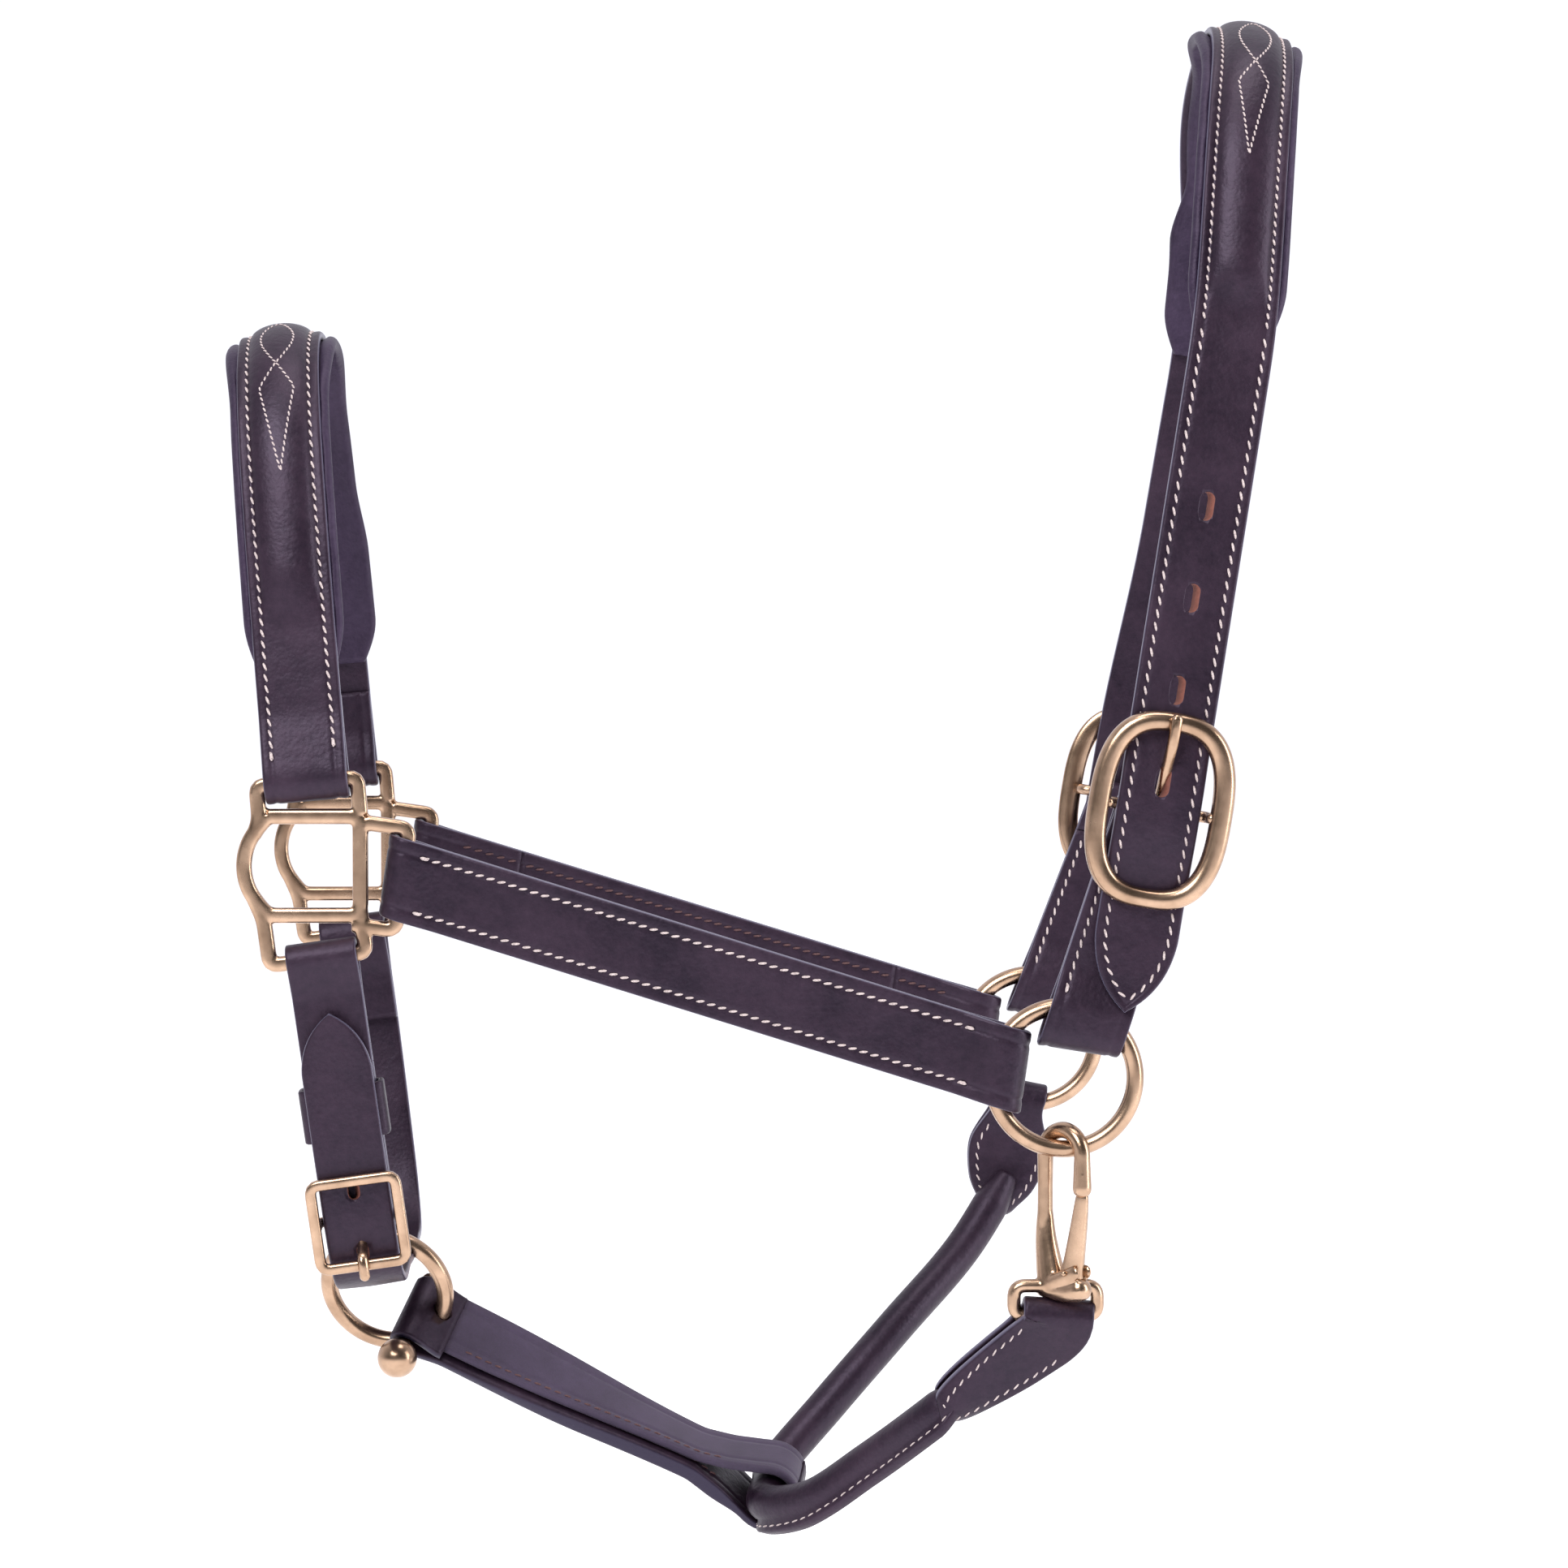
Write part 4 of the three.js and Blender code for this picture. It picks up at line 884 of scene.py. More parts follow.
def fancy_stitching(band, middle, top, dome, sizes):
    """A decorative outline each way from the raised centre: an oval, a crossing and a long kite."""
    first, crossing, half = sizes["first"], sizes["crossing"], sizes["oval_half"]
    length = crossing - first
    parts = ((0, 0), (0.12, 0.52), (0.36, 1), (0.64, 0.92), (0.88, 0.4))
    oval = [(first + part * length, wide * half) for part, wide in parts] + [(crossing, 0)]
    kite = [(crossing, 0), (sizes["widest"], sizes["kite_half"]), (sizes["tip"], 0)]
    lines = [resample(points, 0.8) for points in (smooth(oval, 40), kite)]
    stitches = []
    for direction in (1, -1):
        for sign in (1, -1):
            for points in lines:
                along = middle + direction * points[:, 0]
                across = sign * points[:, 1]
                inside = np.clip(1 - (across / RAISED_HALF) ** 2, 0, 1)
                height = np.array([dome(s) for s in along]) * inside ** RAISED_POWER
                stitches += row(band, along, across, top + height, **FANCY_STITCHES)
    return stitches


def padded_lining(name, band, half, reach, lean=lambda s: 0.0):
    """Soft leather rolled over its padding; it swells beside the strap and narrows out at its ends."""
    middle = band.length / 2
    sections = []
    for s in np.linspace(middle - reach, middle + reach, int(reach) + 1):
        ease = float(np.clip((reach - abs(s - middle)) / 15, 0, 1))
        drawn_in = smoothstep(abs(s - middle), 14, 44) * (1 - smoothstep(s - middle, 66, 90))
        wide = half - PAD_DRAW_IN * float(drawn_in)
        width = LINING_SEAT + (wide - LINING_SEAT) * math.sin(ease * math.pi / 2)
        puff = 1.5 * ease + 0.25 * math.sin(s * 0.37) * ease
        section = lining_section(width, puff)
        sections.append(band.at(s, section[:, 0] + lean(s), section[:, 1]))
    piece = skin(name, sections, lining_leather)
    return piece


def lining_section(half, puff):
    """Flat under the strap, with a rolled edge each side that swells outwards."""
    roll_half = 1.5 + puff * 0.45
    roll_thick = LINING / 2 + puff * 0.55
    roll_centre = (half - roll_half, LINING / 2 + puff * 0.28)
    turn = np.radians(np.linspace(100, -100, 13))
    roll = roll_centre + np.stack([roll_half * np.cos(turn), roll_thick * np.sin(turn)], 1)
    top = [(x, LINING) for x in (-LINING_SEAT, -6, 0, 6, LINING_SEAT)]
    under = np.stack([np.linspace(1, -1, 9) * (half - roll_half - 1.5), np.zeros(9)], 1)
    return np.concatenate([top, roll, under, roll[::-1] * (-1, 1)])


# ---- side rings -----------------------------------------------------------------------------
def hoop_sections(matrix, radius, section, steps=120):
    """A ring round z; its section is given outward and along z."""
    out = radius + section[:, 0]
    return np.array([
        moved(matrix, np.stack([out * math.cos(a), out * math.sin(a), section[:, 1]], 1))
        for a in np.linspace(0, 2 * math.pi, steps, endpoint=False)
    ])


def hoop(name, matrix, radius, wire, node):
    sections = hoop_sections(matrix, radius, ring_section(wire / 2, wire / 2, 20))
    return stands_for(skin(name, sections, brass, loop=True), "brass", node)


def chin_ring_matrix():
    axis = unit(CHIN_RING_AXIS)
    across = unit(np.cross((0, 0, 1), axis))
    return basis(CHIN_RING["centre"], across, np.cross(axis, across))


def make_rings():
    for side in (NEAR, FAR):
        matrix = basis((RING["x"], side * RING["half_span"], RING["z"]), (1, 0, 0), (0, 0, 1))
        name = side_name(side)
        hoop(f"{name}_ring_fine", matrix, RING["radius"], RING["wire"], f"{name}_ring")
    hoop("chin_ring_fine", chin_ring_matrix(), CHIN_RING["radius"], CHIN_RING["wire"], "chin_ring")


def ring_seat(centre, toward, fold, half_width, eye):
    """Where a strap's straight fold sits on a round ring, and how far its eye must reach."""
    centre, toward, fold = (np.asarray(v, float) for v in (centre, toward, fold))

    def distance(across, radius):
        start = centre + fold * across
        back = toward @ start
        return -back + math.sqrt(back * back - start @ start + radius * radius)

    inner = RING["radius"] - RING["wire"] / 2 - GAP
    start = min(distance(-half_width, inner), distance(half_width, inner)) + eye
    crest = max(distance(part * half_width, RING["radius"]) for part in (-0.8, -0.4, 0, 0.4, 0.8))
    return start, max(crest - start + 0.6, 0)


# ---- squares --------------------------------------------------------------------------------
def turned(points, angle, shift):
    """Points of a flat outline turned and moved in its plane, as a line in space."""
    points = np.asarray(points, float)
    c, s = math.cos(angle), math.sin(angle)
    flat = points @ np.array([[c, s], [-s, c]]) + shift
    return np.concatenate([flat, np.zeros((len(flat), 1))], 1)


def make_squares():
    """Flat cast bars: a window bulging forward, with a strap slot above, behind and below it."""
    lower = [(-21.6, -6.5), (-18.6, -11.5), (-15.2, -15.4)]
    upper = [(x, -z) for x, z in lower[::-1]]
    bulge = smooth([*upper, (-22.8, 0), *lower], 40)
    window = [(-15.2, -15.4), (13.4, -15.4), (13.4, 15.4), (-15.2, 15.4)]
    window = np.concatenate([bulge, cornered(window, 2.2)])
    nose = cornered([(-17.8, -15.2), (-15.7, -10.5), (-15.7, 0), (15.7, 0), (15.7, -11.5)], 2.6)
    cheek = cornered([(-13.5, -16), (0, -16), (0, 16), (-13.5, 16)], 3.0)
    chin = cornered([(-18.3, 21), (-16.4, 14.5), (-16.4, 0), (13.7, 0), (13.7, 14.5)], 2.6)
    lines = [
        turned(softened(resample(window, 1.2), 2), 0, (0, 0)),
        turned(nose, -NOSE_LEAN, NOSE_BAR),
        turned(cheek, -CHEEK_FOLD_LEAN, CHEEK_BAR),
        turned(chin, -CHIN_LEAN, CHIN_BAR),
    ]
    for side in (NEAR, FAR):
        matrix = basis((SQUARE["x"], side * SQUARE["half_span"], SQUARE["z"]), (1, 0, 0), (0, 0, 1))
        solids = [moved(matrix, flat_bar(line, SQUARE_BAR_HALF, SQUARE["bar"] / 2)) for line in lines]
        name = side_name(side)
        casting = cast(several(f"{name}_square_fine", solids, brass), 0.4, 9)
        stands_for(casting, "brass", f"{name}_square")


def flat_bar(line, half, thick):
    """Sections of a squarish bar along a line drawn in its own plane."""
    flat = line[:, :2]
    section = ring_section(half, thick, 20, 3.6)
    return np.array([
        np.column_stack([spot + section[:, :1] * left, section[:, 1]])
        for spot, left in zip(flat, left_of(tangents(flat)))
    ])


# ---- oval buckles and chapes ----------------------------------------------------------------
BACK_BELLY = 1.1            # how far the back of a half-round bar bellies out


def half_round_frame(outline, widths, back, thick):
    """A frame of half-round bar: x outward, y up, z across; the outline runs along its middle."""
    normal = -left_of(tangents(outline, closed=True))
    angle = np.linspace(0, 2 * math.pi, 24, endpoint=False)
    c, s = np.cos(angle), np.sin(angle)
    across = np.sign(c) * np.abs(c) ** 0.8
    depth = np.where(s > 0, np.abs(s) ** 0.85 * (thick - BACK_BELLY), s * BACK_BELLY)
    sections = []
    for point, out, width in zip(outline, normal, widths):
        flat = point + across[:, None] * out * width / 2
        sections.append(np.stack([back + BACK_BELLY + depth, flat[:, 1], flat[:, 0]], 1))
    return np.array(sections)


def make_tongue(name, matrix, route, direction, radius, node):
    """A tapered blade along the route, and the eye that turns on the buckle's bar."""
    line = smooth([(out, along * direction, 0) for out, along in route], 30)
    blade = rod(line, np.linspace(0.95, 1.0, len(line)) * radius, sides=14, power=2.8)
    eye = hoop_sections(matrix, BAR_RADIUS + 1.15, ring_section(0.85, 1.8, 12, 2.6), steps=40)
    return stands_for(several(name, [moved(matrix, blade), (eye, True)], brass), "brass", node)


def centre_bar(inner, back, radius=BAR_RADIUS):
    """The bar behind the billet, its ends bent up into the frame."""
    end = back + 1.4
    line = cornered([(end, 0, -inner), (0, 0, -inner), (0, 0, inner), (end, 0, inner)], 2.2)
    return rod(line, radius, sides=14)


TONGUE_REST = 1.9           # a resting tongue's middle, above the front of its frame


def make_buckle(side):
    centre = np.array([BUCKLE["x"], side * BUCKLE["half_span"], BUCKLE["z"]])
    up = (math.sin(CROWN_LEAN), 0, math.cos(CROWN_LEAN))
    if side == FAR:
        centre += np.array([up[2], 0, -up[0]]) * FAR_SWAY["kept"]
    matrix = basis(centre, (0, side, 0), up)
    name = side_name(side)
    half = BUCKLE["width"] / 2
    outline = ring_section(half - BUCKLE_SIDE / 2, (BUCKLE["height"] - BUCKLE_END) / 2, 112, 2.75)
    widths = BUCKLE_END + (BUCKLE_SIDE - BUCKLE_END) * np.abs(outline[:, 0]) / half
    frame_bar = half_round_frame(outline, widths, BUCKLE_BACK, BUCKLE_THICK)
    bar = centre_bar(half - BUCKLE_SIDE + 0.6, BUCKLE_BACK)
    solids = [(moved(matrix, frame_bar), True), moved(matrix, bar)]
    stands_for(several(f"{name}_buckle_fine", solids, brass), "brass", f"{name}_buckle")
    rest = BUCKLE_BACK + BUCKLE_THICK + TONGUE_REST
    route = [(2.1, 2.2), (3.8, 6.8), (6.8, 12.4), (rest - 1.2, 20), (rest, 25), (rest, 28.4)]
    make_tongue(f"{name}_tongue_fine", matrix, route, 1, 1.75, f"{name}_tongue")
    make_chape(side, centre)


FOLD_RUN = 11               # how far past a fitting the two plies take to close


def folded_end(radius, reach, ply):
    """A strap end folded round a fitting at x = 0, its plies going towards +x."""
    middle = radius + ply / 2
    flat = GAP / 2 + ply / 2
    end = reach + FOLD_RUN
    return np.concatenate([
        [(end, -flat), (reach, -middle)], arc(0, 0, middle, 270, 90, 14), [(reach, middle), (end, flat)],
    ])


def flipped(line, length):
    return line * (-1, -1) + (length, 0)


def wrapped_line(length, first, last, ply, seam):
    """A strap wrapped round a fitting at each end, its ends meeting on the inner side."""
    flat = GAP / 2 + ply / 2
    return np.concatenate([
        [(seam, -flat)], folded_end(*first, ply),
        flipped(folded_end(*last, ply), length), [(seam + GAP, -flat)],
    ])


CHAPE_SEAM = 14.0           # where a chape's ends meet on its inner side, measured from the buckle's bar


def make_chape(side, centre):
    ring = np.array([RING["x"] + CHAPE_SHIFT, side * RING["half_span"], RING["z"]])
    along = ring - centre
    fold = np.array([math.cos(CROWN_LEAN), 0, -math.sin(CROWN_LEAN)])
    eye = RING["wire"] / 2 + 2 * GAP
    start, reach = ring_seat((CHAPE_SHIFT, 0, 0), -unit(along), fold, CHAPE_WIDTH / 2, eye)
    length = np.linalg.norm(along) - start
    line = wrapped_line(length, (BAR_RADIUS + GAP, 0), (eye, reach), CHAPE_PLY, CHAPE_SEAM)
    matrix = skewed(centre, along, fold, side)
    band = Band(matrix, line, step=1.0, soften=1)
    name = side_name(side)
    ply = CHAPE_PLY / 2
    body = strap(f"{name}_chape_fine", band, CHAPE_WIDTH / 2, -ply, ply, havana, inset=CROWN_INSET, edge=0.8)
    tongue_slot = slot_cutter(matrix, -9, 2.4, -9, 9, 2.8, havana)
    stands_for(carved(body, [tongue_slot]), "havana_leather", f"{name}_chape")
    stitches = []
    row_across = CHAPE_WIDTH / 2 - CROWN_INSET
    for run, first in ((1, 12), (-1, CHAPE_SEAM + 3)):
        ends = sorted((band.find(first, run), band.find(length - 12, run)))
        for across in (-row_across, row_across):
            stitches += straight_row(band, *ends, across, ply, back=run == 1)
    thread_object(f"{name}_chape_stitching", stitches, f"{name}_chape")


# ---- cheekpieces ----------------------------------------------------------------------------
def make_cheek(side):
    start = np.array([SQUARE["x"] + CHEEK_BAR[0], side * SQUARE["half_span"], SQUARE["z"] + CHEEK_BAR[1]])
    end = np.array([RING["x"], side * RING["half_span"], RING["z"] - CHEEK_DROP])
    along = end - start
    eye = RING["wire"] / 2 + 3 * GAP
    fold = np.array([math.sin(CHEEK_FOLD_LEAN), 0, math.cos(CHEEK_FOLD_LEAN)])
    matrix = skewed(start, along, fold, side)
    seat, reach = ring_seat((0, 0, -CHEEK_DROP), -unit(along), fold, CHEEK_WIDTH / 2, eye)
    length = np.linalg.norm(along) - seat
    flat = GAP / 2 + PLY / 2
    line = np.concatenate([
        [(TURN_BACK, -flat)], folded_end(SQUARE_EYE, 0, PLY), flipped(folded_end(eye, reach, PLY), length),
        [(length - TURN_BACK, -flat)],
    ])
    band = Band(matrix, line, step=1.0, soften=1)
    name = side_name(side)
    ply, half = PLY / 2, CHEEK_WIDTH / 2
    body = strap(f"{name}_cheekpiece_fine", band, half, -ply, ply, havana, inset=CHEEK_INSET)
    stands_for(body, "havana_leather", f"{name}_cheekpiece")
    inner = Band(matrix, [(length - TURN_BACK - 0.05, -flat), (TURN_BACK + 0.05, -flat)], soften=0)
    lining = strap(f"{name}_cheek_lining_fine", inner, half, -ply, ply, havana, inset=CHEEK_INSET)
    stands_for(lining, "lining_leather", f"{name}_cheek_lining")
    outer_start, outer_end = band.find(5, 1), band.find(length - 12, 1)
    stitches, inside = [], []
    for across in (-half + CHEEK_INSET, half - CHEEK_INSET):
        stitches += straight_row(band, outer_start, outer_end, across, ply)
        inside += straight_row(inner, 1.5, inner.length - 1.5, across, ply, back=False)
        for first, last in ((11, TURN_BACK - 1), (length - TURN_BACK + 1, length - 13)):
            ends = sorted((band.find(first, -1), band.find(last, -1)))
            inside += straight_row(band, *ends, across, ply, back=False)
    thread_object(f"{name}_cheek_stitching", stitches, f"{name}_cheekpiece")
    thread_object(f"{name}_cheek_inner_stitching", inside, f"{name}_cheekpiece", dark_thread)


# ---- noseband -------------------------------------------------------------------------------
NOSE_HALF_LINE = [(0, 0), (14, -2), (28, -11), (39, -28), (46.5, -52), (51.5, -80), (54.5, -102), (56, -117)]
NOSE_FANCY = {
    "first": 11.0, "crossing": 35.5, "widest": 44.5, "tip": 72.6, "oval_half": 5.0, "kite_half": 5.5,
}
NOSE_PAD_REACH = 126.8
NOSE_FOLD = SQUARE_EYE + BILLET / 2
NOSE_ROW_LIFT = {-1: 11.4, 1: 15.0}    # where each of the two rows starts, above the fold's lowest point


def noseband_line(arch):
    """Up from a turned-back end, round a square's bar, over the nose and down to the other square."""
    span, fold = SQUARE["half_span"], NOSE_FOLD
    turned_back = np.array([(2 - span, 26), (2 - span, 12), (fold - span, 2)]) - (0, NOSE_DEPTH)
    return np.concatenate([
        turned_back, arc(-span, -NOSE_DEPTH, fold, 0, -180, 14), [(-span - fold, -NOSE_DEPTH + 2)],
        offset_line(arch, LINING + GAP + BILLET / 2),
        [(span + fold, -NOSE_DEPTH + 2)], arc(span, -NOSE_DEPTH, fold, 0, -180, 14),
        (turned_back * (-1, 1))[::-1],
    ])


def make_noseband():
    bar = np.array([SQUARE["x"] + NOSE_BAR[0], 0, SQUARE["z"] + NOSE_BAR[1]])
    top = bar + np.array([math.sin(NOSE_LEAN), 0, math.cos(NOSE_LEAN)]) * NOSE_DEPTH
    plane = leaning_plane(top, NOSE_LEAN)
    arch = smooth(mirrored(NOSE_HALF_LINE), 160)
    band = Band(plane, noseband_line(arch), step=1.4)
    middle = band.length / 2
    ply, half = BILLET / 2, NOSE_WIDTH / 2

    def dome(s):
        return raised(s - middle, NOSE_PAD_REACH, 22)

    body = strap("noseband_strap_fine", band, half, -ply, ply, havana, dome=dome, inset=NOSE_INSET)
    stands_for(body, "havana_leather", "noseband_strap")
    stitches = []
    outer_run = band.line[:, 0] < -SQUARE["half_span"] - 1
    for sign, lift in NOSE_ROW_LIFT.items():
        start = band.at_height(outer_run, -NOSE_DEPTH - NOSE_FOLD + lift)
        stitches += straight_row(band, start, band.length - start, sign * (half - NOSE_INSET), ply)
    stitches += fancy_stitching(band, middle, ply, dome, NOSE_FANCY)
    thread_object("noseband_stitching", stitches, "noseband_strap")
    lining = padded_lining("noseband_lining_fine", Band(plane, arch), NOSE_LINING_WIDTH / 2, NOSE_PAD_REACH)
    stands_for(lining, "lining_leather", "noseband_lining", "noseband_padding")


# ---- chin straps ----------------------------------------------------------------------------
chin_origin = (SQUARE["x"] + CHIN_BAR[0], 0, SQUARE["z"] + CHIN_BAR[1])
chin_plane = leaning_plane(chin_origin, CHIN_LEAN)


def hanger_place():
    """Down the near hanger, with y outward and z across the strap."""
    top, bottom = moved(chin_plane, [
        (-SQUARE["half_span"], 0, 0), (-CHIN_BUCKLE["half_span"], -CHIN_BUCKLE["drop"], 0),
    ])
    return basis(top, bottom - top, (0, -1, 0)), np.linalg.norm(bottom - top)


def make_hanger():
    matrix, length = hanger_place()
    line = wrapped_line(length, (SQUARE_EYE, 0), (BAR_RADIUS + GAP, 0), CHAPE_PLY, 34)
    band = Band(matrix, line, step=1.0, soften=1)
    ply = CHAPE_PLY / 2
    body = strap("chin_hanger_fine", band, CHIN_WIDTH / 2, -ply, ply, havana, edge=0.8)
    tongue_slot = slot_cutter(matrix, length - 5, length + 9, -9, 9, 2.4, havana)
    stands_for(carved(body, [tongue_slot]), "havana_leather", "chin_hanger")
    make_keeper(matrix)


def rounded_loop(half_x, half_y, radius):
    """A rounded rectangle, and the way out of it at each of its points."""
    corners = [(half_x, -half_y), (half_x, half_y), (-half_x, half_y), (-half_x, -half_y)]
    path = cornered(corners, radius, closed=True)
    return path, -left_of(tangents(path, closed=True))


def make_keeper(matrix):
    """A flat loop of leather round the hanger, behind the billet."""
    wall = KEEPER["wall"]
    half_y, half_z = CHAPE_PLY + 2 * GAP + wall / 2, CHIN_WIDTH / 2 + 2 * GAP + wall / 2
    section = strap_section(KEEPER["length"] / 2, -wall / 2, wall / 2, edge=0.7)
    along = KEEPER["top"] + KEEPER["length"] / 2 + section[:, 0]
    sections = []
    for point, out in zip(*rounded_loop(half_z, half_y, 2.0)):
        flat = point + section[:, 1:] * out
        sections.append(moved(matrix, np.stack([along, flat[:, 1], flat[:, 0]], 1)))
    stands_for(skin("chin_keeper_fine", sections, havana, loop=True), "havana_leather", "chin_keeper")


def chin_line():
    """Round the far square's bar, under the chin and up past the buckle to the billet's tip."""
    span, buckle = SQUARE["half_span"], CHIN_BUCKLE["drop"]
    fold, flat = SQUARE_EYE + BILLET / 2, GAP / 2 + BILLET / 2
    lean = (span - CHIN_BUCKLE["half_span"]) / buckle
    off = CHAPE_PLY + 3 * GAP + KEEPER["wall"] + BILLET / 2

    def near(drop, lift=0.0):
        return (-(span - lean * drop) - off - lift, -drop)

    leg = smooth([
        (span + flat, -14), (span + flat - 0.6, -34), (span - 4, -62), (span - 10, -84), (38, -100),
        (20, -105), (0, -106.6), (-20, -106.2), (-40, -104.8), (-52, -102), (-58, -97),
        near(buckle + 7, -0.9), near(buckle, -0.1), near(buckle - 8, -0.1), near(buckle - 16, -0.2),
        near(buckle - 24), near(34), near(-CHIN_TIP),
    ], 160)
    return np.concatenate([
        [(span - flat, -30), (span - flat, -14), (span - fold, -3)], arc(span, 0, fold, 180, 0, 14),
        [(span + fold, -3)], leg,
    ])


def cupped(local):
    """The bottom of the chin strap curls up a little at its edges."""
    bottom = smoothstep(-local[..., 1], 78, 100) * (1 - smoothstep(np.abs(local[..., 0]), 18, 50))
    curled = local.copy()
    curled[..., 1] += CHIN_CURL * bottom * (local[..., 2] / (CHIN_WIDTH / 2)) ** 2
    return curled


CHIN_HOLES = (-9.6, 9.5)          # above the buckle's bar


def make_chin_strap():
    band = Band(chin_plane, chin_line(), step=1.4, warp=cupped)
    point = ogive(2 * band.length, CHIN_WIDTH / 2, 18.0)

    def half_at(s):
        return point(band.length - s) if s > band.length / 2 else CHIN_WIDTH / 2

    ply = BILLET / 2
    body = strap("chin_strap_fine", band, half_at, -ply, ply, havana)
    reach, near_run = ply + HOLE_OVERLAP, band.line[:, 0] < -40
    cutters = []
    for height in CHIN_HOLES:
        along = band.at_height(near_run, height - CHIN_BUCKLE["drop"])
        cutters.append(hole_cutter(band, along, -reach, reach, raw_edge, length=5.4, width=3.8))
    stands_for(carved(body, cutters), "havana_leather", "chin_strap")


def make_chin_buckle():
    centre, top = moved(chin_plane, [
        (-CHIN_BUCKLE["half_span"], -CHIN_BUCKLE["drop"], 0), (-SQUARE["half_span"], 0, 0),
    ])
    up = unit(top - centre)
    matrix = basis(centre, unit(np.array([0, -1, 0]) + up * up[1]), up)
    back, thick = CHIN_BUCKLE["back"], CHIN_BUCKLE["thick"]
    middle = (CHIN_BUCKLE["size"] - CHIN_BUCKLE["bar"]) / 2
    section = ring_section(CHIN_BUCKLE["bar"] / 2, thick / 2, 20, 3.2)
    sections = []
    for point, out in zip(*rounded_loop(middle, middle, 3.0)):
        flat = point + section[:, :1] * out
        outward = back + thick / 2 + section[:, 1]
        sections.append(moved(matrix, np.stack([outward, flat[:, 1], flat[:, 0]], 1)))
    solids = [(np.array(sections), True), moved(matrix, centre_bar(middle - 0.4, back, 1.6))]
    stands_for(several("chin_buckle_fine", solids, brass), "brass", "chin_buckle")
    rest = back + thick + TONGUE_REST
    route = [(2.1, 2.2), (4.2, 5.4), (7.4, 8.4), (rest - 0.5, 11), (rest, 16.2)]
    make_tongue("chin_tongue_fine", matrix, route, -1, 1.6, "chin_tongue")


# ---- jaw strap ------------------------------------------------------------------------------
jaw_direction = unit(JAW_DIRECTION)
jaw_across = unit(np.array(JAW_ACROSS) - jaw_direction * np.dot(JAW_ACROSS, jaw_direction))
# x along the strap from the bolt, y on its upper side, z across it towards the near side.
jaw_place = basis(BOLT["centre"], jaw_direction, np.cross(jaw_direction, jaw_across))


JAW_SWELL = 2.4             # the outer ply thickens by this underneath, and each ply parts by it at the loop
JAW_LINING_SHIFT = 1.5      # the inner ply sits this far towards one edge
RING_CLEARANCE = 0.6


def jaw_twist(local):
    """The strap twists between the bolt and the throat loop."""
    along, off, across = local[..., 0], local[..., 1], local[..., 2]
    angle = smoothstep(along, 14, 104) * JAW_TWIST
    c, s = np.cos(angle), np.sin(angle)
    return np.stack([along, off * c - across * s, off * s + across * c], -1)


def make_jaw_strap():
    eye = BOLT["radius"] + GAP + JAW_PLY / 2
    ply, half = JAW_PLY / 2, JAW_WIDTH / 2
    flat = GAP / 2 + ply
    loop = ROLL_RADIUS + 6 * GAP + ply
    loop_start = JAW_LENGTH - 16
    outer = np.concatenate([
        [(JAW_TURN, flat), (11, flat), (2, eye)], arc(0, 0, eye, 90, 270, 14), [(2, -eye), (13, -flat)],
        smooth([(24, -flat), (50, -flat - 0.1), (76, -flat - 0.1), (102, -flat - 0.1)], 30),
        [(loop_start, -flat - JAW_SWELL)], arc(JAW_LENGTH, 0, loop, 240, 405, 30),
    ])
    inner = np.concatenate([
        [(JAW_TURN + 0.1, flat)],
        smooth([(24, flat - 0.2), (50, flat - 0.3), (76, flat - 0.3), (102, flat)], 30),
        [(loop_start, flat + JAW_SWELL)], arc(JAW_LENGTH, 0, loop, 120, 49, 14),
    ])
    band, top = (Band(jaw_place, line, step=1.0, soften=3, warp=jaw_twist) for line in (outer, inner))
    first, last = band.find(24, -1), band.find(JAW_LENGTH - 18, -1)

    def under(s):
        swell = smoothstep(s, first - 16, first + 40) * (1 - smoothstep(s, last, last + 14))
        return -ply - JAW_SWELL * float(swell)

    # The strap's edges carry painted shade from its leather's edge colour.
    body = strap("jaw_strap_fine", band, half, under, ply, painted_shade_edged, inset=CHEEK_INSET)
    wire = (CHIN_RING["wire"] + RING_CLEARANCE) / 2
    opened = hoop_sections(chin_ring_matrix(), CHIN_RING["radius"], ring_section(wire, wire, 20))
    stands_for(carved(body, [skin("cutter", opened, havana, loop=True)]), "havana_leather", "jaw_strap")
    cover = strap(
        "jaw_lining_fine", top, half - 1.8, -ply, ply, flesh, inset=CHEEK_INSET, shift=-JAW_LINING_SHIFT)
    stands_for(cover, "lining_leather", "jaw_lining")
    lower_row = half - CHEEK_INSET - JAW_LINING_SHIFT
    stitches = straight_row(top, 6, top.length - 26, lower_row, ply, back=False, slant=0.1)
    run = sorted((band.find(20, -1), last))
    for across in (-half + CHEEK_INSET, lower_row):
        stitches += straight_row(band, *run, across, ply, back=False)
    thread_object("jaw_stitching", stitches, "jaw_strap", dark_thread)


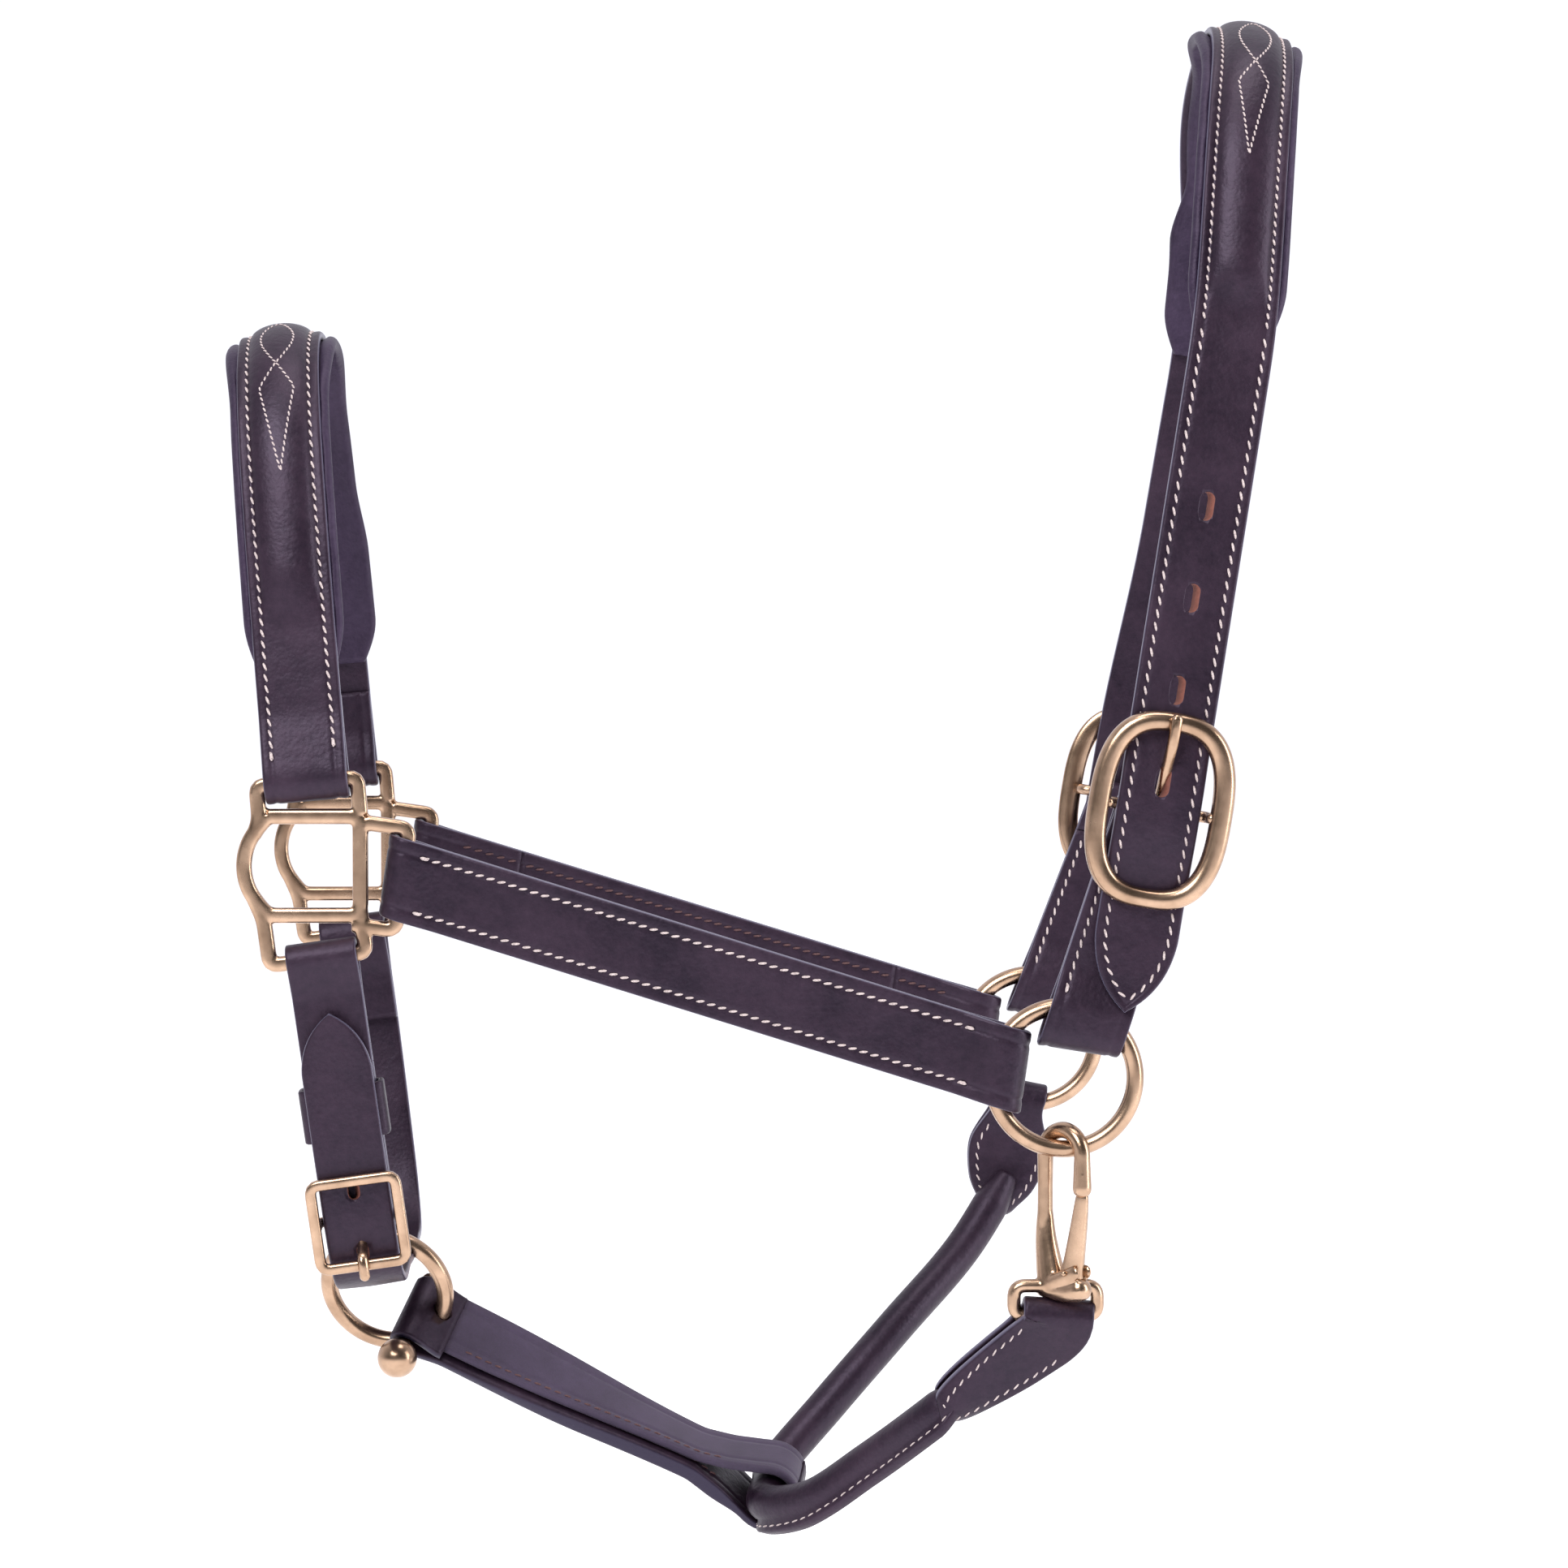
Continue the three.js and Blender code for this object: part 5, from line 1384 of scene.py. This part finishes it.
def make_bolt():
    """A plain pin with a ball on its near end and a flat head on the other, turned in one piece."""
    pin, ball = BOLT["radius"], BOLT["ball"]
    end = JAW_WIDTH / 2 + GAP
    centre = end + ball - 0.6
    head = [(1.2, -2.2), (3.4, -2.2), (3.9, -1.8), (4.0, -1.1), (3.9, -0.4), (3.5, 0), (pin, 0.02)]
    profile = [(radius, z - end) for radius, z in head] + [(pin, end - 0.2)]
    angles = np.radians(np.linspace(-66, 84, 16))
    profile += [(ball * math.cos(a), centre + ball * math.sin(a)) for a in angles]
    turn = np.linspace(0, 2 * math.pi, 40, endpoint=False)
    round_way = np.stack([np.cos(turn), np.sin(turn), np.zeros(len(turn))], 1)
    sections = [moved(jaw_place, radius * round_way + (0, 0, z)) for radius, z in profile]
    stands_for(skin("halter_bolt_fine", sections, brass), "brass", "halter_bolt")


# ---- rolled throat --------------------------------------------------------------------------
loop_centre = moved(jaw_place, (JAW_LENGTH, 0, 0))


def turned_about(vector, axis, angle):
    vector, axis = np.asarray(vector, float), unit(axis)
    c, s = math.cos(angle), math.sin(angle)
    return vector * c + np.cross(axis, vector) * s + axis * (axis @ vector) * (1 - c)


loop_across = turned_about(jaw_across, jaw_direction, JAW_TWIST)


FAR_LEAF_EYE = RING["wire"] / 2 + 2 * GAP


def far_leaf():
    along = unit((-0.2, 0, -0.98))
    start, reach = ring_seat((0, 0, 0), along, (along[2], 0, -along[0]), LEAF_FOLD / 2, FAR_LEAF_EYE)
    origin = np.array([RING["x"], RING["half_span"], RING["z"]]) + along * start
    return {"reach": reach, "place": basis(origin, along, (0, 1, 0)), "length": 38.0, "axis": 0.0}


def near_leaf():
    down = unit((0, 0.351, -0.936))
    matrix = basis(SNAP_EYE, down, (0, -1, 0))
    return {"reach": 1.0, "place": matrix, "length": 46.0, "axis": math.radians(47)}


def leaf_tip(leaf):
    along = np.array([math.cos(leaf["axis"]), 0, math.sin(leaf["axis"])])
    origin, tip = moved(leaf["place"], [(0, 0, 0), along * leaf["length"]])
    return tip, unit(tip - origin)


def centripetal(points, samples):
    """A smooth curve in space that never loops between close points, evenly spaced along its length."""
    points = np.asarray(points, float)
    padded = np.concatenate([[2 * points[0] - points[1]], points, [2 * points[-1] - points[-2]]])
    found = []
    for i in range(1, len(padded) - 2):
        p = padded[i - 1:i + 3]
        step = [max(np.linalg.norm(p[k + 1] - p[k]) ** 0.5, 1e-6) for k in range(3)]
        leave = (p[1] - p[0]) / step[0] - (p[2] - p[0]) / (step[0] + step[1]) + (p[2] - p[1]) / step[1]
        arrive = (p[2] - p[1]) / step[1] - (p[3] - p[1]) / (step[1] + step[2]) + (p[3] - p[2]) / step[2]
        leave, arrive = leave * step[1], arrive * step[1]
        t = np.linspace(0, 1, 24, endpoint=i == len(padded) - 3)[:, None]
        cubic = (2 * (p[1] - p[2]) + leave + arrive) * t ** 3
        found.append(cubic + (3 * (p[2] - p[1]) - 2 * leave - arrive) * t ** 2 + leave * t + p[1])
    line = np.concatenate(found)
    return resample(line, distances(line)[-1] / samples)


def make_throat():
    near, far = near_leaf(), far_leaf()
    near_tip, near_way = leaf_tip(near)
    far_tip, far_way = leaf_tip(far)
    line = centripetal([
        far_tip - far_way * 11 + (1.5, -3.5, 0), (-92, 54, -396), (-115, 36, -419), (-138, 23.5, -443),
        loop_centre + loop_across * 13, loop_centre, loop_centre - loop_across * 13,
        (-146, -26.5, -465.5), (-127, -37.5, -451), near_tip + near_way * 6, near_tip - near_way * 9,
    ], 190)
    along = distances(line)
    from_end = np.minimum(along, along[-1] - along)
    radius = ROLL_RADIUS * (0.45 + 0.55 * np.clip((from_end + 1) / 13, 0, 1) ** 0.6)
    flange = ROLL_FLANGE * np.clip((from_end - 4) / 10, 0, 1)
    out, face = seam_frame(line)
    sections = [
        spot + shape[:, :1] * way + shape[:, 1:] * over
        for spot, way, over, shape in zip(line, out, face, map(rolled_section, radius, flange))
    ]
    stands_for(skin("throat_roll_fine", sections, havana), "havana_leather", "throat_roll")
    sewn = from_end > 9
    seam = line + out * (radius + flange * 0.45)[:, None] + face * (ROLL_SEAM_HALF - 0.05)
    stitches = stitched(seam[sewn], face[sewn], slant=0.12, radius=FINE_THREAD)
    thread_object("throat_stitching", stitches, "throat_roll")
    make_leaf("throat_far_chape", Leaf(far, FAR_LEAF_EYE, LEAF_FOLD, 27.0))
    make_leaf("throat_near_chape", Leaf(near, 2 + 3 * GAP, 22.0, 20.5))


def seam_frame(line):
    """Along the roll, the way its sewn edge points (outward and down) and the way its near face looks."""
    tangent = tangents(line)
    sideways = np.clip(line[:, 1] / 30, -1, 1)
    out = np.stack([np.zeros(len(line)), 1.2 * sideways, -np.ones(len(line))], 1)
    out -= tangent * (tangent * out).sum(1)[:, None]
    out /= np.linalg.norm(out, axis=1)[:, None]
    return out, np.cross(out, tangent)


def rolled_section(radius, flange):
    """A round roll with the flat edge where its leather is sewn together."""
    half = min(ROLL_SEAM_HALF, radius * 0.6)
    leave = math.degrees(math.asin(half / radius))
    tip = radius + max(flange, 0.05)
    edge = [(tip - 0.6, -half), (tip, -half + 0.6), (tip, half - 0.6), (tip - 0.6, half)]
    return np.concatenate([arc(0, 0, radius, leave, 360 - leave, 28), edge])


LEAF_SEAM_INSET = 3.0


class Leaf:
    """Two plies folded round a fitting and cut to a leaf: where a place on its profile lands in space."""

    def __init__(self, leaf, radius, fold_width, leaf_width):
        self.matrix = leaf["place"]
        self.bend(leaf["axis"], leaf["length"])
        self.cut(fold_width, leaf_width)
        self.fold(radius, leaf["reach"])

    def bend(self, axis, length):
        """The leaf's middle line, which curves from the fold's direction to the roll's."""
        tip = np.array([math.cos(axis), math.sin(axis)]) * (length + 3)
        control = [np.zeros(2), np.array([7.0, 0]), tip - unit(tip) * 17, tip]
        t = np.linspace(0, 1, 40)[:, None]
        self.centre = sum(c * (1 - t) ** (3 - k) * t ** k * math.comb(3, k) for k, c in enumerate(control))
        self.along = distances(self.centre)
        self.length = self.along[-1]
        self.forward = tangents(self.centre)
        self.across = left_of(self.forward)

    def cut(self, fold_width, leaf_width):
        """Half widths down the leaf."""
        marks = np.array([0, 5 / self.length, 0.42, 0.72, 0.9, 0.97, 1]) * self.length
        widths = np.array([fold_width, fold_width, leaf_width, leaf_width * 0.84, 13.5, 9.0, 2.5])
        self.halves = smooth(np.stack([marks, widths / 2], 1), 80)

    def fold(self, radius, reach):
        """The line of the two plies round the fitting, from one tip to the other."""
        flat, middle, closed = LEAF_SPREAD / 2 + PLY / 2, radius + PLY / 2, reach + FOLD_RUN
        line = np.concatenate([
            [(self.length, -flat), (closed, -flat), (reach, -middle)], arc(0, 0, middle, 270, 90, 14),
            [(reach, middle), (closed, flat), (self.length, flat)],
        ])
        self.profile = softened(resample(line, 1.0), 2)
        self.normal = left_of(tangents(self.profile))

    def half_at(self, s):
        return float(np.interp(s, self.halves[:, 0], self.halves[:, 1]))

    def lift(self, s, across):
        """The plies close on the roll at the tip and pinch together at the edge."""
        closing = np.clip((s - self.length * 0.55) / (self.length * 0.45), 0, 1)
        edge = abs(across) / max(self.half_at(s), 1)
        pinch = np.clip(edge - 0.55, 0, 1) * np.clip((s - 8) / 8, 0, 1)
        return closing * 3.4 * np.clip(1 - edge ** 2, 0, 1) - 1.2 * pinch

    def at(self, index, across, off):
        """The point at an index of the profile, across the leaf and off its surface."""
        s, height = self.profile[index]
        ahead, up = self.normal[index] * off
        inside = max(s, 0)
        spot, forward, way = (
            np.array([np.interp(inside, self.along, line[:, k]) for k in range(2)])
            for line in (self.centre, self.forward, self.across)
        )
        x, z = spot + forward * (s - inside + ahead) + way * across
        side = 1 if self.normal[index][1] > 0 else -1
        lift = side * self.lift(inside, across) if s > 0 else 0
        return moved(self.matrix, (x, height + up + lift, z))

    def index_at(self, s, side):
        """The index of the flat part of one ply's profile nearest to a distance down the leaf."""
        run = np.where((np.sign(self.profile[:, 1]) == side) & (np.abs(self.normal[:, 1]) > 0.7))[0]
        return run[np.argmin(np.abs(self.profile[run, 0] - s))]

    def seam(self, side):
        """A line inside the edge of one ply: down one side of the leaf and back up the other."""
        s, half = self.halves.T
        sewn = (s > 9) & (half > LEAF_SEAM_INSET + 0.4) & (s < self.length - LEAF_SEAM_INSET)
        places = [(self.index_at(a, side), b) for a, b in zip(s[sewn], half[sewn] - LEAF_SEAM_INSET)]
        down = [self.at(i, across, PLY / 2) for i, across in places]
        return np.array(down + [self.at(i, -across, PLY / 2) for i, across in places[::-1]])


def make_leaf(node, leaf):
    sections, rims = [], []
    for i, (s, _) in enumerate(leaf.profile):
        half = leaf.half_at(max(s, 0))
        section = strap_section(half, -PLY / 2, PLY / 2, edge=0.9)
        sections.append([leaf.at(i, across, off) for across, off in section])
        rims.append(rim_of(section, half))
    body = skin(f"{node}_fine", sections, havana, rim=np.concatenate(rims))
    stands_for(body, "havana_leather", node)
    stitches = []
    for side in (1, -1):
        path = leaf.seam(side)
        outward = np.broadcast_to(leaf.matrix[:3, 1] * side, path.shape)
        stitches += stitched(path, outward, radius=FINE_THREAD)
    thread_object(f"{node}_stitching", stitches, node)


# ---- snap -----------------------------------------------------------------------------------
# x across the snap, y up, z towards the viewer's side of it, with the hook's centre at the origin.
hook_centre = np.array([RING["x"], -RING["half_span"], RING["z"] - RING["radius"] - 1.7])
snap_place = basis(hook_centre, (math.cos(SNAP_YAW), math.sin(SNAP_YAW), 0), (0, 0, 1))


def snap_bars():
    """The hook, its shank, the base across the foot, and a cheek on each side of the gate's pin."""
    hook = resample(np.concatenate([
        [(-SNAP_HOOK, -30), (-SNAP_HOOK, -16), (-SNAP_HOOK, -6)],
        arc(0, 0, SNAP_HOOK, 180, 0, 24), [(SNAP_HOOK, -5), (SNAP_HOOK, -10.2)],
    ]), 1.0)
    hook = np.column_stack([hook, np.zeros(len(hook))])
    thick = np.interp(np.linspace(0, 1, len(hook)), [0, 0.3, 0.55, 0.85, 1], [2.5, 2.35, 2.6, 2.5, 2.9])
    shank = [(shift - SNAP_HOOK, z, 0) for shift, z in ((0, -18), (0.3, -26), (1.6, -34), (3.2, -41))]
    base = smooth([(0.4 - SNAP_HOOK, -42, 0), (-3, -42.6, 0), (3, -42.4, 0), (6.8, -41.6, 0)], 16)
    bars = [
        rod(hook, thick, power=2.2),
        rod(smooth(shank, 24), np.linspace(2.4, 5.0, 25), power=2.3, squash=0.8),
        rod(base, 3.5, power=2.4, squash=1.1),
    ]
    for z in (-2.9, 2.9):
        cheek = smooth([(-4.2, -41, z), (1.2, -38.6, z), (6.4, -36.4, z)], 12)
        bars.append(rod(cheek, np.linspace(2.6, 2.4, 13), squash=0.42))
    return [moved(snap_place, bar) for bar in bars]


def snap_eye():
    """The wide eye that the near leaf folds through."""
    x, y, z = np.array(SNAP_EYE) - (0.6, 0, 0)
    top = hook_centre[2] - 41.5
    corners = [(x - SNAP_EYE_HALF, y, top), (x - SNAP_EYE_HALF, y, z),
               (x + SNAP_EYE_HALF, y, z), (x + SNAP_EYE_HALF, y, top)]
    return closed_rod(cornered(corners, 3.4, closed=True, samples=8, step=1.0), 2.15)


def make_snap():
    solids = [*snap_bars(), (snap_eye(), True)]
    body = cast(several("snap_body_fine", solids, brass), 0.4, 4)
    stands_for(body, "brass", "snap_body")
    pin = rod(moved(snap_place, [(3.6, -36.5, z) for z in (-4.0, 0, 4.0)]), 0.95, sides=18)
    stands_for(several("snap_gate_pin_fine", [pin], brass), "brass", "snap_gate_pin")
    line = smooth([(3.4, -38.2, 0), (4.4, -33, 0), (6.3, -22, 0), (SNAP_HOOK, -13.0, 0)], 24)
    gate = moved(snap_place, rod(line, np.linspace(3.9, 2.0, 25), power=3.4, squash=0.62))
    stands_for(several("snap_gate_fine", [gate], brass), "brass", "snap_gate")


def closed_rod(points, radius, sides=16):
    """Sections of a round bar whose line is a flat closed loop."""
    quarter, half = points[len(points) // 4], points[len(points) // 2]
    flat_normal = unit(np.cross(quarter - points[0], half - points[0]))
    shape = ring_section(radius, radius, sides)
    return np.array([
        point + shape[:, :1] * flat_normal + shape[:, 1:] * np.cross(along, flat_normal)
        for point, along in zip(points, tangents(points, closed=True))
    ])


# ---- stage, lights and camera ---------------------------------------------------------------
CAMERA_TARGET = (-0.1536, 0.0, -0.2365)
CAMERA_DISTANCE = 1.4
CAMERA_AZIMUTH = math.radians(-1.15)
CAMERA_ELEVATION = math.radians(1.8)
CAMERA_LENS = 98.76
FLOOR_DROP = 0.62
FLOOR_HALF = 9.0
BACKDROP = 1.12             # brightness of the studio behind the object, and wherever the camera sees it
FRONT_LIGHT = 0.1           # brightness of the studio in front of the object


def make_camera():
    camera = bpy.data.objects.new("camera", bpy.data.cameras.new("camera"))
    bpy.context.scene.collection.objects.link(camera)
    flat = math.cos(CAMERA_ELEVATION)
    sideways, forward = math.sin(CAMERA_AZIMUTH) * flat, math.cos(CAMERA_AZIMUTH) * flat
    back = Vector((sideways, -forward, math.sin(CAMERA_ELEVATION)))
    camera.location = Vector(CAMERA_TARGET) + back * CAMERA_DISTANCE
    camera.rotation_mode = "QUATERNION"
    camera.rotation_quaternion = (-back).to_track_quat("-Z", "Y")
    camera.data.sensor_width = 36.0
    camera.data.lens = CAMERA_LENS
    camera.data.clip_start = 0.01
    bpy.context.scene.camera = camera


def area_light(name, location, size, power, colour=(1, 1, 1)):
    data = bpy.data.lights.new(name, "AREA")
    data.shape = "RECTANGLE"
    data.size, data.size_y = size
    data.energy = power
    data.color = colour
    light = bpy.data.objects.new(name, data)
    light.location = location
    aim = Vector(CAMERA_TARGET) - Vector(location)
    light.rotation_mode = "QUATERNION"
    light.rotation_quaternion = aim.to_track_quat("-Z", "Y")
    bpy.context.scene.collection.objects.link(light)


def make_floor():
    surface = new_material("pale_floor")
    surface.shade({
        "Base Color": (0.95, 0.95, 0.96, 1), "Roughness": 0.9, "Specular IOR Level": 0.1,
        "Emission Color": (1, 1, 1, 1), "Emission Strength": 0.45,
    })
    corners = [(x * FLOOR_HALF, y * FLOOR_HALF, -FLOOR_DROP) for x, y in ((-1, -1), (1, -1), (1, 1), (-1, 1))]
    to_object("floor", np.array(corners) * 1000, [(0, 1, 2, 3)], surface.owner)


def make_studio():
    """Light from all round, brighter behind the object; the camera sees the same pale backdrop everywhere."""
    world = bpy.data.worlds.new("studio")
    bpy.context.scene.world = world
    studio = NodeTree(world, "Background")
    direction = studio.node("TexCoord").outputs["Generated"]
    behind = studio.node("SeparateXYZ", [(0, direction)]).outputs["Y"]
    light = studio.node("MapRange", [
        ("Value", behind), ("From Min", -0.6), ("From Max", 0.35),
        ("To Min", FRONT_LIGHT), ("To Max", BACKDROP),
    ]).outputs["Result"]
    seen = studio.node("LightPath").outputs["Is Camera Ray"]
    strength = studio.node("Mix", [("Factor", seen), ("A", light), ("B", BACKDROP)]).outputs["Result"]
    studio.shade({"Strength": strength, "Color": (0.93, 0.93, 1.0, 1)})
    area_light("key", (-0.8, -1.5, 1.0), (1.0, 1.0), 34)
    area_light("side", (1.3, -0.5, 0.1), (0.4, 1.2), 12)
    area_light("top", (0.0, -0.3, 1.3), (1.0, 0.5), 9, (1.0, 0.95, 0.93))
    bpy.context.scene.view_settings.view_transform = "Standard"


make_camera()
make_floor()
make_studio()
make_crown()
make_rings()
make_squares()
for side in (NEAR, FAR):
    make_buckle(side)
    make_cheek(side)
make_noseband()
make_hanger()
make_chin_strap()
make_chin_buckle()
make_jaw_strap()
make_bolt()
make_throat()
make_snap()
